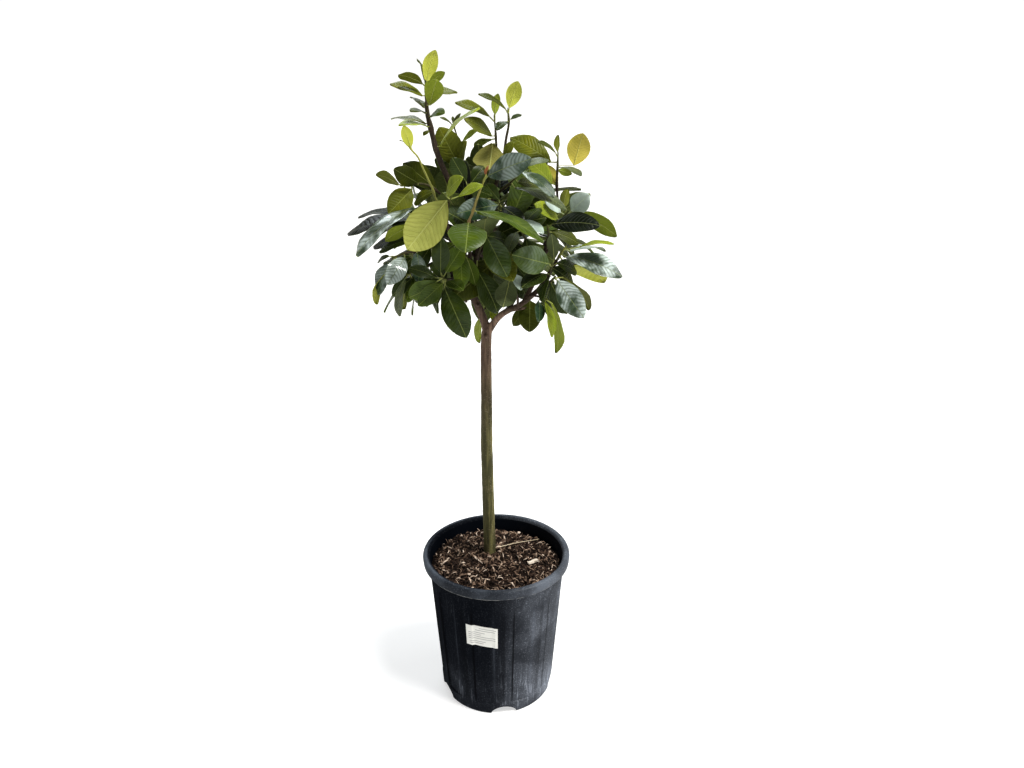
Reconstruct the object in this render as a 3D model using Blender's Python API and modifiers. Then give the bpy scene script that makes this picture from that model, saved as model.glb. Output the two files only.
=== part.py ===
"""Cherry laurel grown as a standard in a panelled nursery pot.

Metres, +Z up, origin at the middle of the pot's underside. The pot's front looks along -Y.
"""
import math
import random
from collections import namedtuple

import bmesh
import bpy
from mathutils import Matrix, Vector
from mathutils.bvhtree import BVHTree

# Pot: lip, neck band, sunk panels, foot
POT_HEIGHT = 0.293
LIP_RADIUS = 0.140
MOUTH_RADIUS = 0.1285
LIP_DROP = 0.018
NECK_DROP = 0.042
BODY_TOP_RADIUS = 0.1295
BODY_FOOT_RADIUS = 0.1090
WALL = 0.0040
FLOOR = 0.0030
PANEL_COUNT = 10
PANEL_DEPTH = 0.0026
PANEL_START = math.radians(-18.0)
PANEL_BOTTOM = 0.026
PANEL_LEDGE = 0.003
COLUMN_TURNS = tuple(math.radians(turn) for turn in (0.0, 1.5, 9.0, 16.5, 18.0, 27.0))
TURN_TOLERANCE = 0.01
NOTCH_COUNT = 5
NOTCH_MIDDLE = math.radians(8.0)
NOTCH_HALF_WIDTH = math.radians(13.0)
NOTCH_HEIGHT = 0.010
FOOT_RISE = 0.004
CHANNEL_INNER = 0.062
DRAIN_RADIUS = 0.006
DRAIN_RING = 0.082
DRAIN_SIDES = 8

# Soil: its top's mound as (radius, height above the level), its unevenness and its fall to the back right
SOIL_DROP = 0.024
SOIL_MOUND = ((0.0, 0.006), (0.030, 0.005), (0.060, 0.002), (0.092, 0.0))
SOIL_EDGE_DROP = 0.004
SOIL_SLOPE = 0.035
SOIL_ROUGHNESS = 0.0032
SOIL_SHRINKAGE = 0.0015
SOIL_SIDES = 30
TOUCH_GAP = 0.0003
SOIL_BOTTOM = FLOOR + NOTCH_HEIGHT + 2 * TOUCH_GAP

# Sticker: its columns round the pot from the front, its height and its slight tilt
LABEL_TURNS = tuple(math.radians(turn) for turn in (-25.5, -18.0, -16.5, -9.0, -1.5, 0.0, 2.0))
LABEL_TOP = 0.2085
LABEL_HEIGHT = 0.045
LABEL_TILT = math.radians(2.5)
LABEL_THICKNESS = 0.0006

# Viewpoint in front of the plant: u runs right and v runs down in a view 1024 wide and 768 high
EYE = Vector((0.030, -1.250, 1.069))
EYE_PITCH = math.radians(-19.4)
VIEW_FOCUS = 750.0
VIEW_MIDDLE = (512.0, 384.0)

# Blades and stalks: OUTLINE_SKEW moves the widest place, OUTLINE_FULLNESS blunts the ends
BLADE_ROWS = (0.0, 0.34, 0.74, 1.0)
OUTLINE_SKEW = 0.92
OUTLINE_FULLNESS = 0.72
BLADE_THICKNESS = 0.0008
BLADE_RATIO = 0.50
BLADE_ARCH = 0.075
BLADE_FOLD = math.radians(10.0)
BLADE_WAVE = 0.035
WAVES_PER_BLADE = 1.6
STALK_WIDTH = 0.0024
STALK_LENGTH = 0.012
UPPER = 1
UNDER = -1

# Room kept round each leaf, and what a leaf may do to find it: swing its tip in centimetres, then roll
CLEARANCE = 0.0022
SWING_STEP = 0.7
SWING_COUNT = 8
ROLLS = (0.0, 0.3, -0.3, 0.6, -0.6)
FOOT_LEAN = 0.15
ROOT_FIRST = 0.3
ROOT_LAST = 1.15

COLLECTION = "potted cherry laurel standard"

Limb = namedtuple("Limb", "name route radii")
Shoot = namedtuple("Shoot", "name limb stem radii leaves")
Leaf = namedtuple("Leaf", "foot tip wide lean shows")
Pose = namedtuple("Pose", "root foot tip normal width phase")

# Places on the trunk and limbs: (u, v) in the view and the distance behind the pot's axis in centimetres
TRUNK_FOOT = (489.8, 549.0, 2.2)
TRUNK_ROUTE = ((486.8, 449, 1.8), (486.6, 400, 1.5), (486.0, 345, 1.2), (487.6, 328, 1.0))
TRUNK_RADII = (0.0120, 0.0088)
TRUNK_SIDES = 12
TRUNK_COLLAR = 0.012
HOLE_DEPTH = 0.050
HOLE_RADIUS = TRUNK_RADII[0] + 2 * TOUCH_GAP
HOLE_SIDES = 24
LIMBS = (
    Limb("left_limb", ((487.6, 333, 1.0), (483, 318, 0.9), (475, 300, 0.5), (467, 286, 0.0), (470, 268, 0.0)),
         (0.0076, 0.0058)),
    Limb("right_limb", ((487.6, 333, 1.0), (495, 321, 0.3), (505, 312, -1.0), (520, 305, -2.0),
                        (538, 290, -3.0), (549, 274, -4.0), (556, 262, -5.0)), (0.0066, 0.0026)),
    Limb("leader_limb", ((467, 284, 0.0), (465, 262, -1.5), (461, 235, -3.0), (457, 205, -4.0)),
         (0.0050, 0.0034)),
    Limb("centre_limb", ((468, 282, 0.0), (476, 262, 0.2), (485, 232, 1.0), (493, 200, 1.8),
                         (497, 178, 2.0)), (0.0046, 0.0028)),
    Limb("front_limb", ((469, 288, 0.2), (470, 274, -3.5), (470, 255, -7.5), (469, 236, -11.0)),
         (0.0040, 0.0024)),
    Limb("left_front_limb", ((467, 286, 0.0), (459, 268, -4.0), (451, 242, -8.0), (446, 217, -12.0)),
         (0.0042, 0.0024)),
    Limb("left_low_limb", ((468, 288, 0.2), (456, 274, -1.5), (442, 262, -3.5), (430, 254, -5.0)),
         (0.0040, 0.0024)),
    Limb("right_up_limb", ((524, 303, -2.2), (536, 276, -0.8), (548, 240, 0.6), (556, 202, 2.0)),
         (0.0044, 0.0024)),
    Limb("back_left_limb", ((473, 296, 0.4), (458, 272, 4.5), (440, 246, 8.5), (428, 222, 11.0)),
         (0.0046, 0.0026)),
    Limb("back_right_limb", ((508, 310, -1.2), (522, 284, 4.0), (540, 254, 8.5), (552, 228, 11.5)),
         (0.0046, 0.0026)),
    Limb("back_limb", ((474, 268, 0.2), (480, 240, 4.5), (486, 212, 8.5), (490, 192, 11.0)),
         (0.0040, 0.0026)),
)
MAIN_LIMBS = ("left_limb", "right_limb", "leader_limb")
MAIN_LIMB_SIDES = 6
TWIG_SIDES = 4
SPUR_SWELL = (1.25, 1.05)
SPUR_SLANT = 0.5
SPUR_END = 0.010
SPUR_END_SHARE = 0.4
SHORTEST_STRETCH = 0.012

# Shoots in front, each with its stem's route and its leaves as the view shows them
SHOOTS = (
    Shoot("shoot_leader", "leader_limb",
          ((455.5, 199, -4.0), (448.2, 179.5, -4.0), (442, 165.5, -4.0), (436, 149.5, -4.0), (431, 129, -4.0),
           (427.8, 115.7, -4.0), (426.2, 100, -4.0), (425.8, 84.5, -4.0)), (0.0032, 0.0010), (
               Leaf((426.5, 83.0), (435.4, 49.8), 15, 0.5, UNDER),
               Leaf((425.0, 80.0), (418.2, 60.7), 6, 4.0, UPPER),
               Leaf((422.5, 83.6), (398.1, 75.0), 10, -2.5, UNDER),
               Leaf((422.5, 95.5), (389.8, 83.9), 8, -1.0, UPPER),
               Leaf((429.0, 84.2), (444.9, 71.9), 9, 3.0, UNDER),
               Leaf((429.5, 104.9), (436.8, 79.0), 20, -4.5, UNDER),
               Leaf((430.0, 94.0), (457.5, 92.2), 7, 3.0, UPPER),
               Leaf((424.0, 107.5), (411.3, 97.4), 5, 4.0, UPPER),
               Leaf((425.0, 113.0), (410.4, 111.2), 3, -4.0, UPPER),
               Leaf((431.0, 115.8), (444.3, 112.9), 7, -4.0, UPPER),
               Leaf((426.0, 123.5), (390.9, 118.6), 4, 2.0, UPPER),
               Leaf((428.0, 126.5), (398.4, 125.0), 4, -4.0, UPPER),
               Leaf((429.0, 130.5), (423.4, 135.5), 4, -1.5, UPPER),
               Leaf((439.8, 146.0), (479.5, 107.4), 3, -2.0, UPPER))),
    Shoot("shoot_slender", "left_front_limb",
          ((440.5, 207, -11.5), (435.5, 198.7, -11.5), (432.3, 188.4, -11.8), (424, 170.6, -12.0),
           (418.3, 157.8, -12.0), (412.2, 150.8, -12.0)), (0.0019, 0.0010), (
               Leaf((411.0, 147.5), (403.6, 125.3), 12, 0.5, UNDER),
               Leaf((410.5, 148.5), (399.8, 140.3), 2, -2.0, UPPER))),
    Shoot("shoot_front", "left_front_limb",
          ((447.5, 209, -13.0), (448.5, 203, -13.6), (450.5, 198.5, -14.0)), (0.0020, 0.0012), (
              Leaf((446.8, 200.5), (407.0, 250.2), 40, -3.0, UNDER),
              Leaf((446.0, 196.5), (462.3, 177.0), 12, -4.0, UPPER),
              Leaf((458.7, 196.0), (483.0, 185.5), 9, -2.0, UPPER))),
    Shoot("shoot_left_top", "leader_limb",
          ((448, 203, -5.0), (438, 192, -5.5), (424, 184, -6.0), (404, 185.5, -6.0)), (0.0022, 0.0011), (
              Leaf((436.0, 188.5), (403.0, 163.0), 22, 3.0, UPPER),
              Leaf((418.0, 183.0), (394.0, 169.0), 20, -4.0, UPPER),
              Leaf((412.0, 189.0), (388.5, 213.5), 24, -4.0, UPPER),
              Leaf((399.0, 184.5), (376.0, 174.5), 10, 3.0, UNDER))),
    Shoot("shoot_left_middle", "left_low_limb",
          ((431, 240, -6.0), (424, 226, -8.0), (416, 211, -9.0)), (0.0020, 0.0011), (
              Leaf((414.0, 207.0), (356.0, 256.0), 14, -3.0, UPPER),
              Leaf((406.0, 213.5), (357.8, 217.3), 7, 2.5, UPPER),
              Leaf((408.0, 221.0), (347.2, 234.0), 14, 4.0, UPPER),
              Leaf((412.0, 226.0), (385.0, 241.0), 13, 1.0, UNDER),
              Leaf((416.0, 240.0), (373.0, 247.0), 14, 3.5, UPPER))),
    Shoot("shoot_left_low", "left_low_limb",
          ((422, 251.5, -7.0), (408, 252.5, -9.0), (394, 257, -9.5)), (0.0018, 0.0011), (
              Leaf((417.0, 253.0), (418.5, 283.0), 16, -4.0, UPPER),
              Leaf((405.0, 257.0), (387.5, 284.6), 20, -5.0, UPPER),
              Leaf((391.0, 262.0), (377.6, 294.8), 14, 2.0, UPPER),
              Leaf((389.0, 256.0), (377.6, 262.5), 4, 1.0, UPPER),
              Leaf((395.0, 262.0), (376.4, 303.8), 5, 5.0, UNDER))),
    Shoot("shoot_left_bottom", "left_low_limb",
          ((430, 264, -6.5), (418, 270, -8.5), (408, 274, -9.5)), (0.0018, 0.0011), (
              Leaf((405.0, 278.5), (399.3, 316.5), 9, -4.0, UPPER),
              Leaf((411.0, 278.5), (404.4, 308.2), 9, 1.0, UNDER),
              Leaf((416.0, 274.0), (420.0, 303.0), 15, 4.0, UPPER))),
    Shoot("shoot_whorl", "left_low_limb",
          ((451, 279, -8.0), (446, 279.5, -11.0), (442.3, 277.5, -13.0)), (0.0020, 0.0013), (
              Leaf((440.5, 272.5), (441.0, 238.0), 19, -1.0, UPPER),
              Leaf((446.0, 272.5), (463.0, 246.0), 19, 2.0, UPPER),
              Leaf((447.0, 281.0), (463.0, 290.0), 12, -4.5, UPPER),
              Leaf((437.0, 281.5), (409.0, 297.5), 27, -6.0, UPPER),
              Leaf((444.0, 283.5), (453.5, 303.5), 13, 5.0, UPPER),
              Leaf((444.5, 288.0), (466.5, 338.0), 28, -3.0, UPPER),
              Leaf((435.5, 277.5), (408.0, 268.0), 12, 3.0, UPPER))),
    Shoot("shoot_front_low", "front_limb",
          ((466, 258, -8.5), (462.5, 251, -10.0), (460, 246, -11.0)), (0.0018, 0.0012), (
              Leaf((459.5, 251.5), (462.0, 288.5), 18, -2.5, UPPER),
              Leaf((466.5, 257.0), (475.5, 285.5), 14, 3.0, UNDER),
              Leaf((454.5, 244.0), (436.0, 262.0), 16, 5.0, UPPER))),
    Shoot("shoot_forward", "front_limb",
          ((469.2, 227, -12.2), (468.9, 221, -12.6), (472.1, 214, -13.0), (476.6, 200, -14.0),
           (481, 187.8, -14.5), (484.9, 178.3, -15.0)), (0.0020, 0.0012), (
               Leaf((487.5, 176.0), (531.7, 158.5), 25, -3.0, UPPER),
               Leaf((485.6, 175.0), (488.3, 165.5), 3, 0.0, UPPER),
               Leaf((468.5, 223.0), (465.7, 251.4), 40, -7.0, UPPER),
               Leaf((477.0, 211.5), (544.0, 241.5), 11, 0.0, UPPER))),
    Shoot("shoot_teal", "centre_limb",
          ((492, 214, -2.5), (497, 207, -5.5), (500, 203.5, -7.5)), (0.0019, 0.0012), (
              Leaf((498.0, 205.0), (456.0, 214.0), 22, -3.0, UPPER),
              Leaf((502.0, 207.0), (524.0, 224.0), 15, -4.0, UPPER),
              Leaf((499.0, 200.0), (486.0, 184.0), 13, 2.0, UPPER))),
    Shoot("shoot_centre_low", "front_limb",
          ((476, 262, -8.0), (480, 250, -9.5), (484.5, 239.5, -10.5)), (0.0019, 0.0012), (
              Leaf((486.3, 236.0), (507.4, 277.2), 26, -3.5, UPPER),
              Leaf((477.0, 270.0), (497.8, 313.5), 23, -3.5, UPPER),
              Leaf((488.0, 236.0), (510.0, 243.0), 13, 4.0, UPPER))),
    Shoot("shoot_centre_right", "right_limb",
          ((517, 296, -4.5), (514.5, 286, -7.0), (512.5, 277, -8.5)), (0.0018, 0.0012), (
              Leaf((510.0, 278.5), (503.0, 307.5), 23, -4.0, UNDER),
              Leaf((515.0, 274.0), (521.0, 290.0), 11, -3.5, UPPER),
              Leaf((510.5, 272.0), (494.0, 258.0), 14, 4.0, UPPER))),
    Shoot("shoot_right_front", "right_limb",
          ((547, 281, -5.0), (550, 273, -6.5), (552, 265.5, -8.0)), (0.0019, 0.0012), (
              Leaf((549.5, 264.0), (512.5, 255.0), 29, -5.5, UPPER),
              Leaf((546.5, 274.0), (522.0, 287.5), 15, -5.0, UPPER),
              Leaf((554.0, 259.5), (551.5, 234.0), 13, -3.0, UNDER),
              Leaf((557.0, 263.0), (577.0, 273.0), 12, 4.0, UPPER))),
    Shoot("shoot_right_inner", "right_up_limb",
          ((531, 246, -4.0), (525, 238, -6.5), (520, 229, -8.0)), (0.0018, 0.0012), (
              Leaf((521.0, 220.0), (543.5, 234.0), 9, -5.0, UPPER),
              Leaf((517.0, 232.0), (508.0, 252.0), 13, -4.0, UPPER),
              Leaf((523.0, 226.0), (541.0, 208.0), 12, 4.0, UPPER),
              Leaf((528.0, 240.0), (540.0, 264.0), 15, 2.0, UPPER))),
    Shoot("shoot_right", "right_limb",
          ((558.5, 257.5, -5.5), (561.5, 252.5, -6.3), (564.5, 248.5, -7.0)), (0.0020, 0.0012), (
              Leaf((580.0, 246.5), (614.0, 243.7), 4, -1.5, UPPER),
              Leaf((566.0, 256.5), (622.5, 276.7), 20, -2.0, UPPER),
              Leaf((567.0, 266.0), (604.2, 281.5), 11, 4.0, UNDER),
              Leaf((570.0, 250.5), (605.0, 250.5), 3, 6.0, UPPER))),
    Shoot("shoot_right_low", "right_limb",
          ((547.5, 284, -5.5), (551, 281, -8.0), (554.5, 277.5, -9.5)), (0.0019, 0.0012), (
              Leaf((557.0, 280.0), (584.0, 318.0), 25, -5.0, UPPER),
              Leaf((551.0, 283.0), (567.0, 314.0), 20, 2.0, UPPER),
              Leaf((563.0, 277.0), (589.0, 309.6), 7, 5.0, UNDER))),
    Shoot("shoot_right_dark", "right_up_limb",
          ((550, 244, -2.5), (549, 235, -4.5), (547.5, 227, -6.0)), (0.0019, 0.0012), (
              Leaf((551.5, 224.5), (600.0, 225.5), 20, -4.0, UPPER),
              Leaf((552.0, 232.0), (579.0, 244.0), 12, 3.0, UPPER))),
    Shoot("shoot_right_white", "right_up_limb",
          ((558.5, 224, 0.5), (563, 217.5, -0.5), (567, 213, -1.5)), (0.0019, 0.0012), (
              Leaf((571.0, 211.0), (589.0, 194.5), 21, -3.0, UPPER),
              Leaf((574.0, 213.5), (617.2, 236.3), 17, 3.0, UNDER),
              Leaf((563.5, 207.0), (568.0, 189.0), 10, 3.0, UNDER),
              Leaf((558.0, 219.0), (534.0, 204.0), 13, -4.0, UPPER),
              Leaf((561.0, 212.5), (545.0, 201.0), 9, -1.0, UPPER))),
    Shoot("shoot_top_front", "centre_limb",
          ((502, 190, -3.5), (509, 184, -6.0), (517, 176.5, -8.0)), (0.0018, 0.0011), (
              Leaf((522.0, 171.5), (555.0, 197.4), 12, -3.0, UPPER),
              Leaf((515.0, 187.5), (567.0, 210.0), 10, -3.5, UPPER),
              Leaf((518.0, 182.0), (541.0, 188.0), 14, 4.0, UPPER),
              Leaf((522.0, 167.0), (549.0, 160.0), 7, 1.0, UPPER))),
    Shoot("shoot_right_top", "right_up_limb",
          ((557.2, 193, 2.2), (556.8, 183.3, 2.2), (557.5, 168, 2.0), (558, 155.5, 2.0)), (0.0018, 0.0009), (
              Leaf((555.5, 152.4), (537.6, 141.3), 4, -1.5, UPPER),
              Leaf((557.6, 152.0), (558.0, 134.6), 6, 2.5, UNDER),
              Leaf((574.0, 165.5), (582.9, 133.0), 24, 0.5, UNDER),
              Leaf((551.0, 162.0), (510.0, 137.5), 21, 2.0, UPPER),
              Leaf((552.5, 184.0), (527.0, 160.0), 18, -3.0, UPPER),
              Leaf((561.5, 167.0), (581.6, 175.7), 5, -4.0, UPPER))),
    Shoot("shoot_top_middle", "centre_limb",
          ((497, 171, 2.0), (496.1, 141.2, 2.0), (494.5, 118.5, 2.0)), (0.0017, 0.0010), (
              Leaf((489.1, 115.7), (455.0, 102.3), 9, -1.0, UPPER),
              Leaf((492.0, 136.0), (464.2, 118.3), 12, -2.0, UPPER),
              Leaf((494.8, 114.5), (498.0, 93.4), 9, 1.5, UNDER),
              Leaf((491.5, 139.0), (475.0, 148.0), 7, 4.0, UNDER),
              Leaf((492.5, 144.0), (489.0, 171.5), 36, -6.0, UNDER))),
    Shoot("shoot_top_right", "centre_limb",
          ((503.5, 160, 1.0), (505.7, 141.2, 1.0), (508.7, 124.6, 1.0), (508.2, 112, 1.0)),
          (0.0016, 0.0010), (
              Leaf((505.5, 108.5), (478.3, 93.7), 5, -1.0, UPPER),
              Leaf((509.2, 108.0), (518.0, 81.0), 16, 0.5, UNDER),
              Leaf((506.5, 121.5), (497.0, 130.0), 8, -4.0, UPPER),
              Leaf((511.0, 119.0), (521.6, 114.7), 4, 1.0, UPPER))),
    Shoot("shoot_top_left", "leader_limb",
          ((463, 178, 1.5), (460, 155, 2.6), (457.4, 138, 3.0), (454.2, 127.5, 3.0)), (0.0017, 0.0009), (
              Leaf((453.6, 125.0), (452.8, 116.4), 4, 1.0, UPPER),
              Leaf((452.0, 124.5), (440.0, 117.3), 2, -1.0, UPPER),
              Leaf((455.0, 124.5), (460.4, 113.2), 2, 0.0, UPPER),
              Leaf((459.0, 166.0), (439.0, 127.0), 27, -1.5, UPPER),
              Leaf((462.0, 143.0), (477.6, 129.7), 5, 2.0, UNDER))),
    Shoot("shoot_inner_top", "leader_limb",
          ((463, 202, -5.0), (466, 193, -6.5), (468, 186, -7.5)), (0.0017, 0.0011), (
              Leaf((466.0, 181.5), (452.0, 157.5), 17, 1.5, UPPER),
              Leaf((471.5, 182.5), (484.0, 166.0), 15, 2.0, UPPER),
              Leaf((470.0, 190.0), (492.0, 196.0), 12, -3.0, UPPER))),
    Shoot("shoot_hanging", "right_limb",
          ((536, 296, -5.5), (540.5, 297, -8.0), (546, 299, -9.5)), (0.0018, 0.0011), (
              Leaf((545.5, 302.0), (552.3, 337.5), 9, -2.0, UPPER),
              Leaf((552.5, 303.5), (556.5, 353.2), 9, -1.0, UNDER),
              Leaf((538.5, 301.0), (538.5, 322.0), 10, -3.5, UPPER))),
    Shoot("shoot_right_under", "right_limb",
          ((524, 308, 1.0), (528, 306.5, 3.0), (532, 304.5, 4.0)), (0.0018, 0.0011), (
              Leaf((530.0, 300.0), (529.5, 332.0), 24, -5.0, UPPER),
              Leaf((540.0, 303.0), (556.0, 318.0), 12, 4.0, UPPER))),
    Shoot("shoot_fork_sprout", "left_limb",
          ((485, 309, 3.0), (487, 306, 4.0), (489, 304, 4.6)), (0.0013, 0.0009), (
              Leaf((490.5, 307.0), (496.0, 325.0), 8, -1.5, UPPER),
              Leaf((484.5, 309.5), (479.0, 343.0), 7, 2.5, UNDER))),
)

# Crown outline, and the shoots inside and at the back that fill it: turn and rise in degrees, share of the
# way from the crown's middle to its outline
CROWN_MIDDLE = Vector((-0.014, 0.010, 0.872))
CROWN_RADII = Vector((0.198, 0.200, 0.172))
HIDDEN_SHOOTS = (
    (20, 12, 0.56), (55, -8, 0.56), (90, 10, 0.56), (125, -10, 0.56), (162, 8, 0.56), (38, 42, 0.56),
    (75, 38, 0.56), (112, 40, 0.56), (148, 40, 0.56), (92, 72, 0.50), (192, 28, 0.56),
    (188, -22, 0.56), (92, -38, 0.56), (270, 12, 0.30), (232, 40, 0.36), (318, 36, 0.36),
    (300, -22, 0.34), (10, 66, 0.46))
HIDDEN_STEM_LENGTH = 0.26
HIDDEN_STEM_BOW = 0.004
HIDDEN_RADII = (0.0019, 0.0012)
HIDDEN_LEAVES = 5
HIDDEN_LENGTH = (0.082, 0.102)
HIDDEN_PLACES = (0.35, 0.97)
HIDDEN_SPREADS = (math.radians(66.0), math.radians(28.0))
HIDDEN_DROOP = 0.16
SHOOTWARD = 0.9
SKYWARD = 0.7
LEAF_TURN = math.radians(144.0)
SIZE_STEPS = (1.0, 0.85)
SPREAD_STEPS = (0.0, 0.22, -0.22, 0.44, -0.44)
TURN_STEPS = (0.0, 0.35, -0.35, 0.7, -0.7, 1.05, -1.05)

Obstacle = namedtuple("Obstacle", "tree middle reach owner kind")


def seen_at(across, down, behind_cm):
    """Point on the sight line through (across, down) of the view, so far behind the pot's axis."""
    forward = Vector((0.0, math.cos(EYE_PITCH), math.sin(EYE_PITCH)))
    upward = Vector((0.0, -math.sin(EYE_PITCH), math.cos(EYE_PITCH)))
    sideways = Vector((1.0, 0.0, 0.0))
    ray = forward + sideways * (across - VIEW_MIDDLE[0]) / VIEW_FOCUS
    ray += upward * (VIEW_MIDDLE[1] - down) / VIEW_FOCUS
    return EYE + ray * ((behind_cm / 100.0 - EYE.y) / ray.y)


def eye_distance(point):
    """Distance from the eye along its line of view, which scales the widths seen there."""
    forward = Vector((0.0, math.cos(EYE_PITCH), math.sin(EYE_PITCH)))
    return (point - EYE).dot(forward)


def smooth_route(points, cuts):
    """Catmull-Rom curve through the points, with cuts stretches between each two."""
    ends = [points[0] * 2 - points[1]] + list(points) + [points[-1] * 2 - points[-2]]
    route = []
    for before, start, end, after in zip(ends, ends[1:], ends[2:], ends[3:]):
        for cut in range(cuts):
            t = cut / cuts
            bend = (2 * before - 5 * start + 4 * end - after) * t ** 2
            twist = (3 * start - before - 3 * end + after) * t ** 3
            route.append(start + 0.5 * ((end - before) * t + bend + twist))
    route.append(points[-1].copy())
    return route


def nearest_on(route, point):
    """Nearest point of a route, and how far along it that lies in stretches."""
    best = None
    for index, (start, end) in enumerate(zip(route, route[1:])):
        run = end - start
        share = min(1.0, max(0.0, (point - start).dot(run) / run.length_squared))
        spot = start + run * share
        if best is None or (spot - point).length < best[0]:
            best = ((spot - point).length, index + share, spot)
    return best[2], best[1]


def point_along(route, place):
    """Point of a route at a place counted in stretches."""
    place = min(max(place, 0.0), len(route) - 1.0001)
    index = int(place)
    return route[index].lerp(route[index + 1], place - index)


def finish_mesh(made, material):
    made.data.materials.clear()
    made.data.materials.append(material)
    for polygon in made.data.polygons:
        polygon.use_smooth = True
    made.data.set_sharp_from_angle(angle=math.radians(35.0))


def new_material(name, colour, roughness):
    material = bpy.data.materials.new(name)
    material.use_nodes = True
    shader = material.node_tree.nodes["Principled BSDF"]
    shader.inputs["Base Color"].default_value = (*colour, 1.0)
    shader.inputs["Roughness"].default_value = roughness
    shader.inputs["Metallic"].default_value = 0.0
    return material


def mesh_object(name, bm, collection):
    mesh = bpy.data.meshes.new(name)
    bm.to_mesh(mesh)
    bm.free()
    made = bpy.data.objects.new(name, mesh)
    collection.objects.link(made)
    return made


def turned(name, profile, steps, collection):
    """Solid turned from a profile of (radius, height) points, as a mesh with its poles merged."""
    bm = bmesh.new()
    corners = [bm.verts.new((radius, 0.0, height)) for radius, height in profile]
    for start, end in zip(corners, corners[1:]):
        bm.edges.new((start, end))
    outline = mesh_object(name, bm, collection)
    screw = outline.modifiers.new("Turn", "SCREW")
    screw.axis = "Z"
    screw.steps = steps
    screw.render_steps = steps
    screw.use_merge_vertices = True
    screw.merge_threshold = 0.00005
    screw.use_smooth_shade = True
    bpy.context.view_layer.update()
    evaluated = outline.evaluated_get(bpy.context.evaluated_depsgraph_get())
    outline.data = bpy.data.meshes.new_from_object(evaluated)
    outline.modifiers.clear()
    return outline


def tube(name, route, radii, sides, collection):
    """Tapered rod along a route, as a mesh with its flat ends welded on."""
    curve = bpy.data.curves.new(name, "CURVE")
    curve.dimensions = "3D"
    curve.bevel_depth = 1.0
    curve.bevel_resolution = sides // 2 - 2
    curve.use_fill_caps = True
    spline = curve.splines.new("POLY")
    spline.points.add(len(route) - 1)
    for index, (spot, place) in enumerate(zip(spline.points, route)):
        share = index / (len(route) - 1)
        spot.co = (*place, 1.0)
        spot.radius = radii[0] + (radii[1] - radii[0]) * share
    rod = bpy.data.objects.new(name, curve)
    collection.objects.link(rod)
    bpy.context.view_layer.update()
    mesh = bpy.data.meshes.new_from_object(rod.evaluated_get(bpy.context.evaluated_depsgraph_get()))
    bpy.data.objects.remove(rod)
    bm = bmesh.new()
    bm.from_mesh(mesh)
    bmesh.ops.remove_doubles(bm, verts=bm.verts, dist=0.00001)
    bmesh.ops.recalc_face_normals(bm, faces=bm.faces)
    bpy.data.meshes.remove(mesh)
    return mesh_object(name, bm, collection)


def drill_at(name, spot, radius, sides, length):
    """Round cutter along Z, shown as wires."""
    bm = bmesh.new()
    bmesh.ops.create_cone(bm, cap_ends=True, segments=sides, radius1=radius, radius2=radius, depth=length)
    drill = mesh_object(name, bm, cutters)
    drill.location = spot
    drill.hide_render = True
    drill.display_type = "WIRE"
    return drill


def apply_modifiers(made):
    bpy.context.view_layer.update()
    evaluated = made.evaluated_get(bpy.context.evaluated_depsgraph_get())
    mesh = bpy.data.meshes.new_from_object(evaluated)
    made.modifiers.clear()
    made.data = mesh


def join_all(body, pieces_collection):
    """Unite a body with every solid of a collection, then remove the collection's solids."""
    union = body.modifiers.new("Grown together", "BOOLEAN")
    union.operation = "UNION"
    union.operand_type = "COLLECTION"
    union.solver = "EXACT"
    union.collection = pieces_collection
    apply_modifiers(body)
    for piece in list(pieces_collection.objects):
        bpy.data.objects.remove(piece)
    bpy.data.collections.remove(pieces_collection)


def obstacle(bm, owner, kind):
    middle = sum((vert.co for vert in bm.verts), Vector()) / len(bm.verts)
    reach = max((vert.co - middle).length for vert in bm.verts)
    return Obstacle(BVHTree.FromBMesh(bm), middle, reach, owner, kind)


def obstacle_of(made, owner):
    bm = bmesh.new()
    bm.from_mesh(made.data)
    found = obstacle(bm, owner, "stem")
    bm.free()
    return found


def touches(candidate, obstacles):
    for other in obstacles:
        if (candidate.middle - other.middle).length < candidate.reach + other.reach:
            if candidate.tree.overlap(other.tree):
                return True
    return False


def is_clear(pose, owner, obstacles, own_leaves_too):
    """Whether a leaf, with clearance all round, meets nothing but its own stem."""
    bm = leaf_solid(pose, 2 * CLEARANCE)
    candidate = obstacle(bm, owner, "leaf")
    bm.free()
    others = [other for other in obstacles
              if other.owner != owner or (own_leaves_too and other.kind == "leaf")]
    return not touches(candidate, others)


def half_outline(share):
    """Half width of a laurel blade along its midrib, 1 at its widest."""
    return math.sin(math.pi * share ** OUTLINE_SKEW) ** OUTLINE_FULLNESS


def blade_point(pose, share, across):
    """Point of the blade's upper face, share along its midrib and across from -1 to 1."""
    run = pose.tip - pose.foot
    side = run.normalized().cross(pose.normal)
    arch = pose.foot.lerp(pose.tip, 0.5) + pose.normal * run.length * BLADE_ARCH * 2
    middle = pose.foot * (1 - share) ** 2 + arch * 2 * share * (1 - share) + pose.tip * share ** 2
    tangent = ((arch - pose.foot) * (1 - share) + (pose.tip - arch) * share).normalized()
    normal = side.cross(tangent)
    half = max(pose.width / 2 * half_outline(share), STALK_WIDTH / 2 if share < 0.5 else 0.0)
    ripple = math.sin(math.tau * (WAVES_PER_BLADE * share + pose.phase)) * math.sin(math.pi * share)
    lift = abs(across) * (half * math.sin(BLADE_FOLD) + ripple * across * BLADE_WAVE * pose.width)
    return middle + side * across * half * math.cos(BLADE_FOLD) + normal * lift


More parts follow.
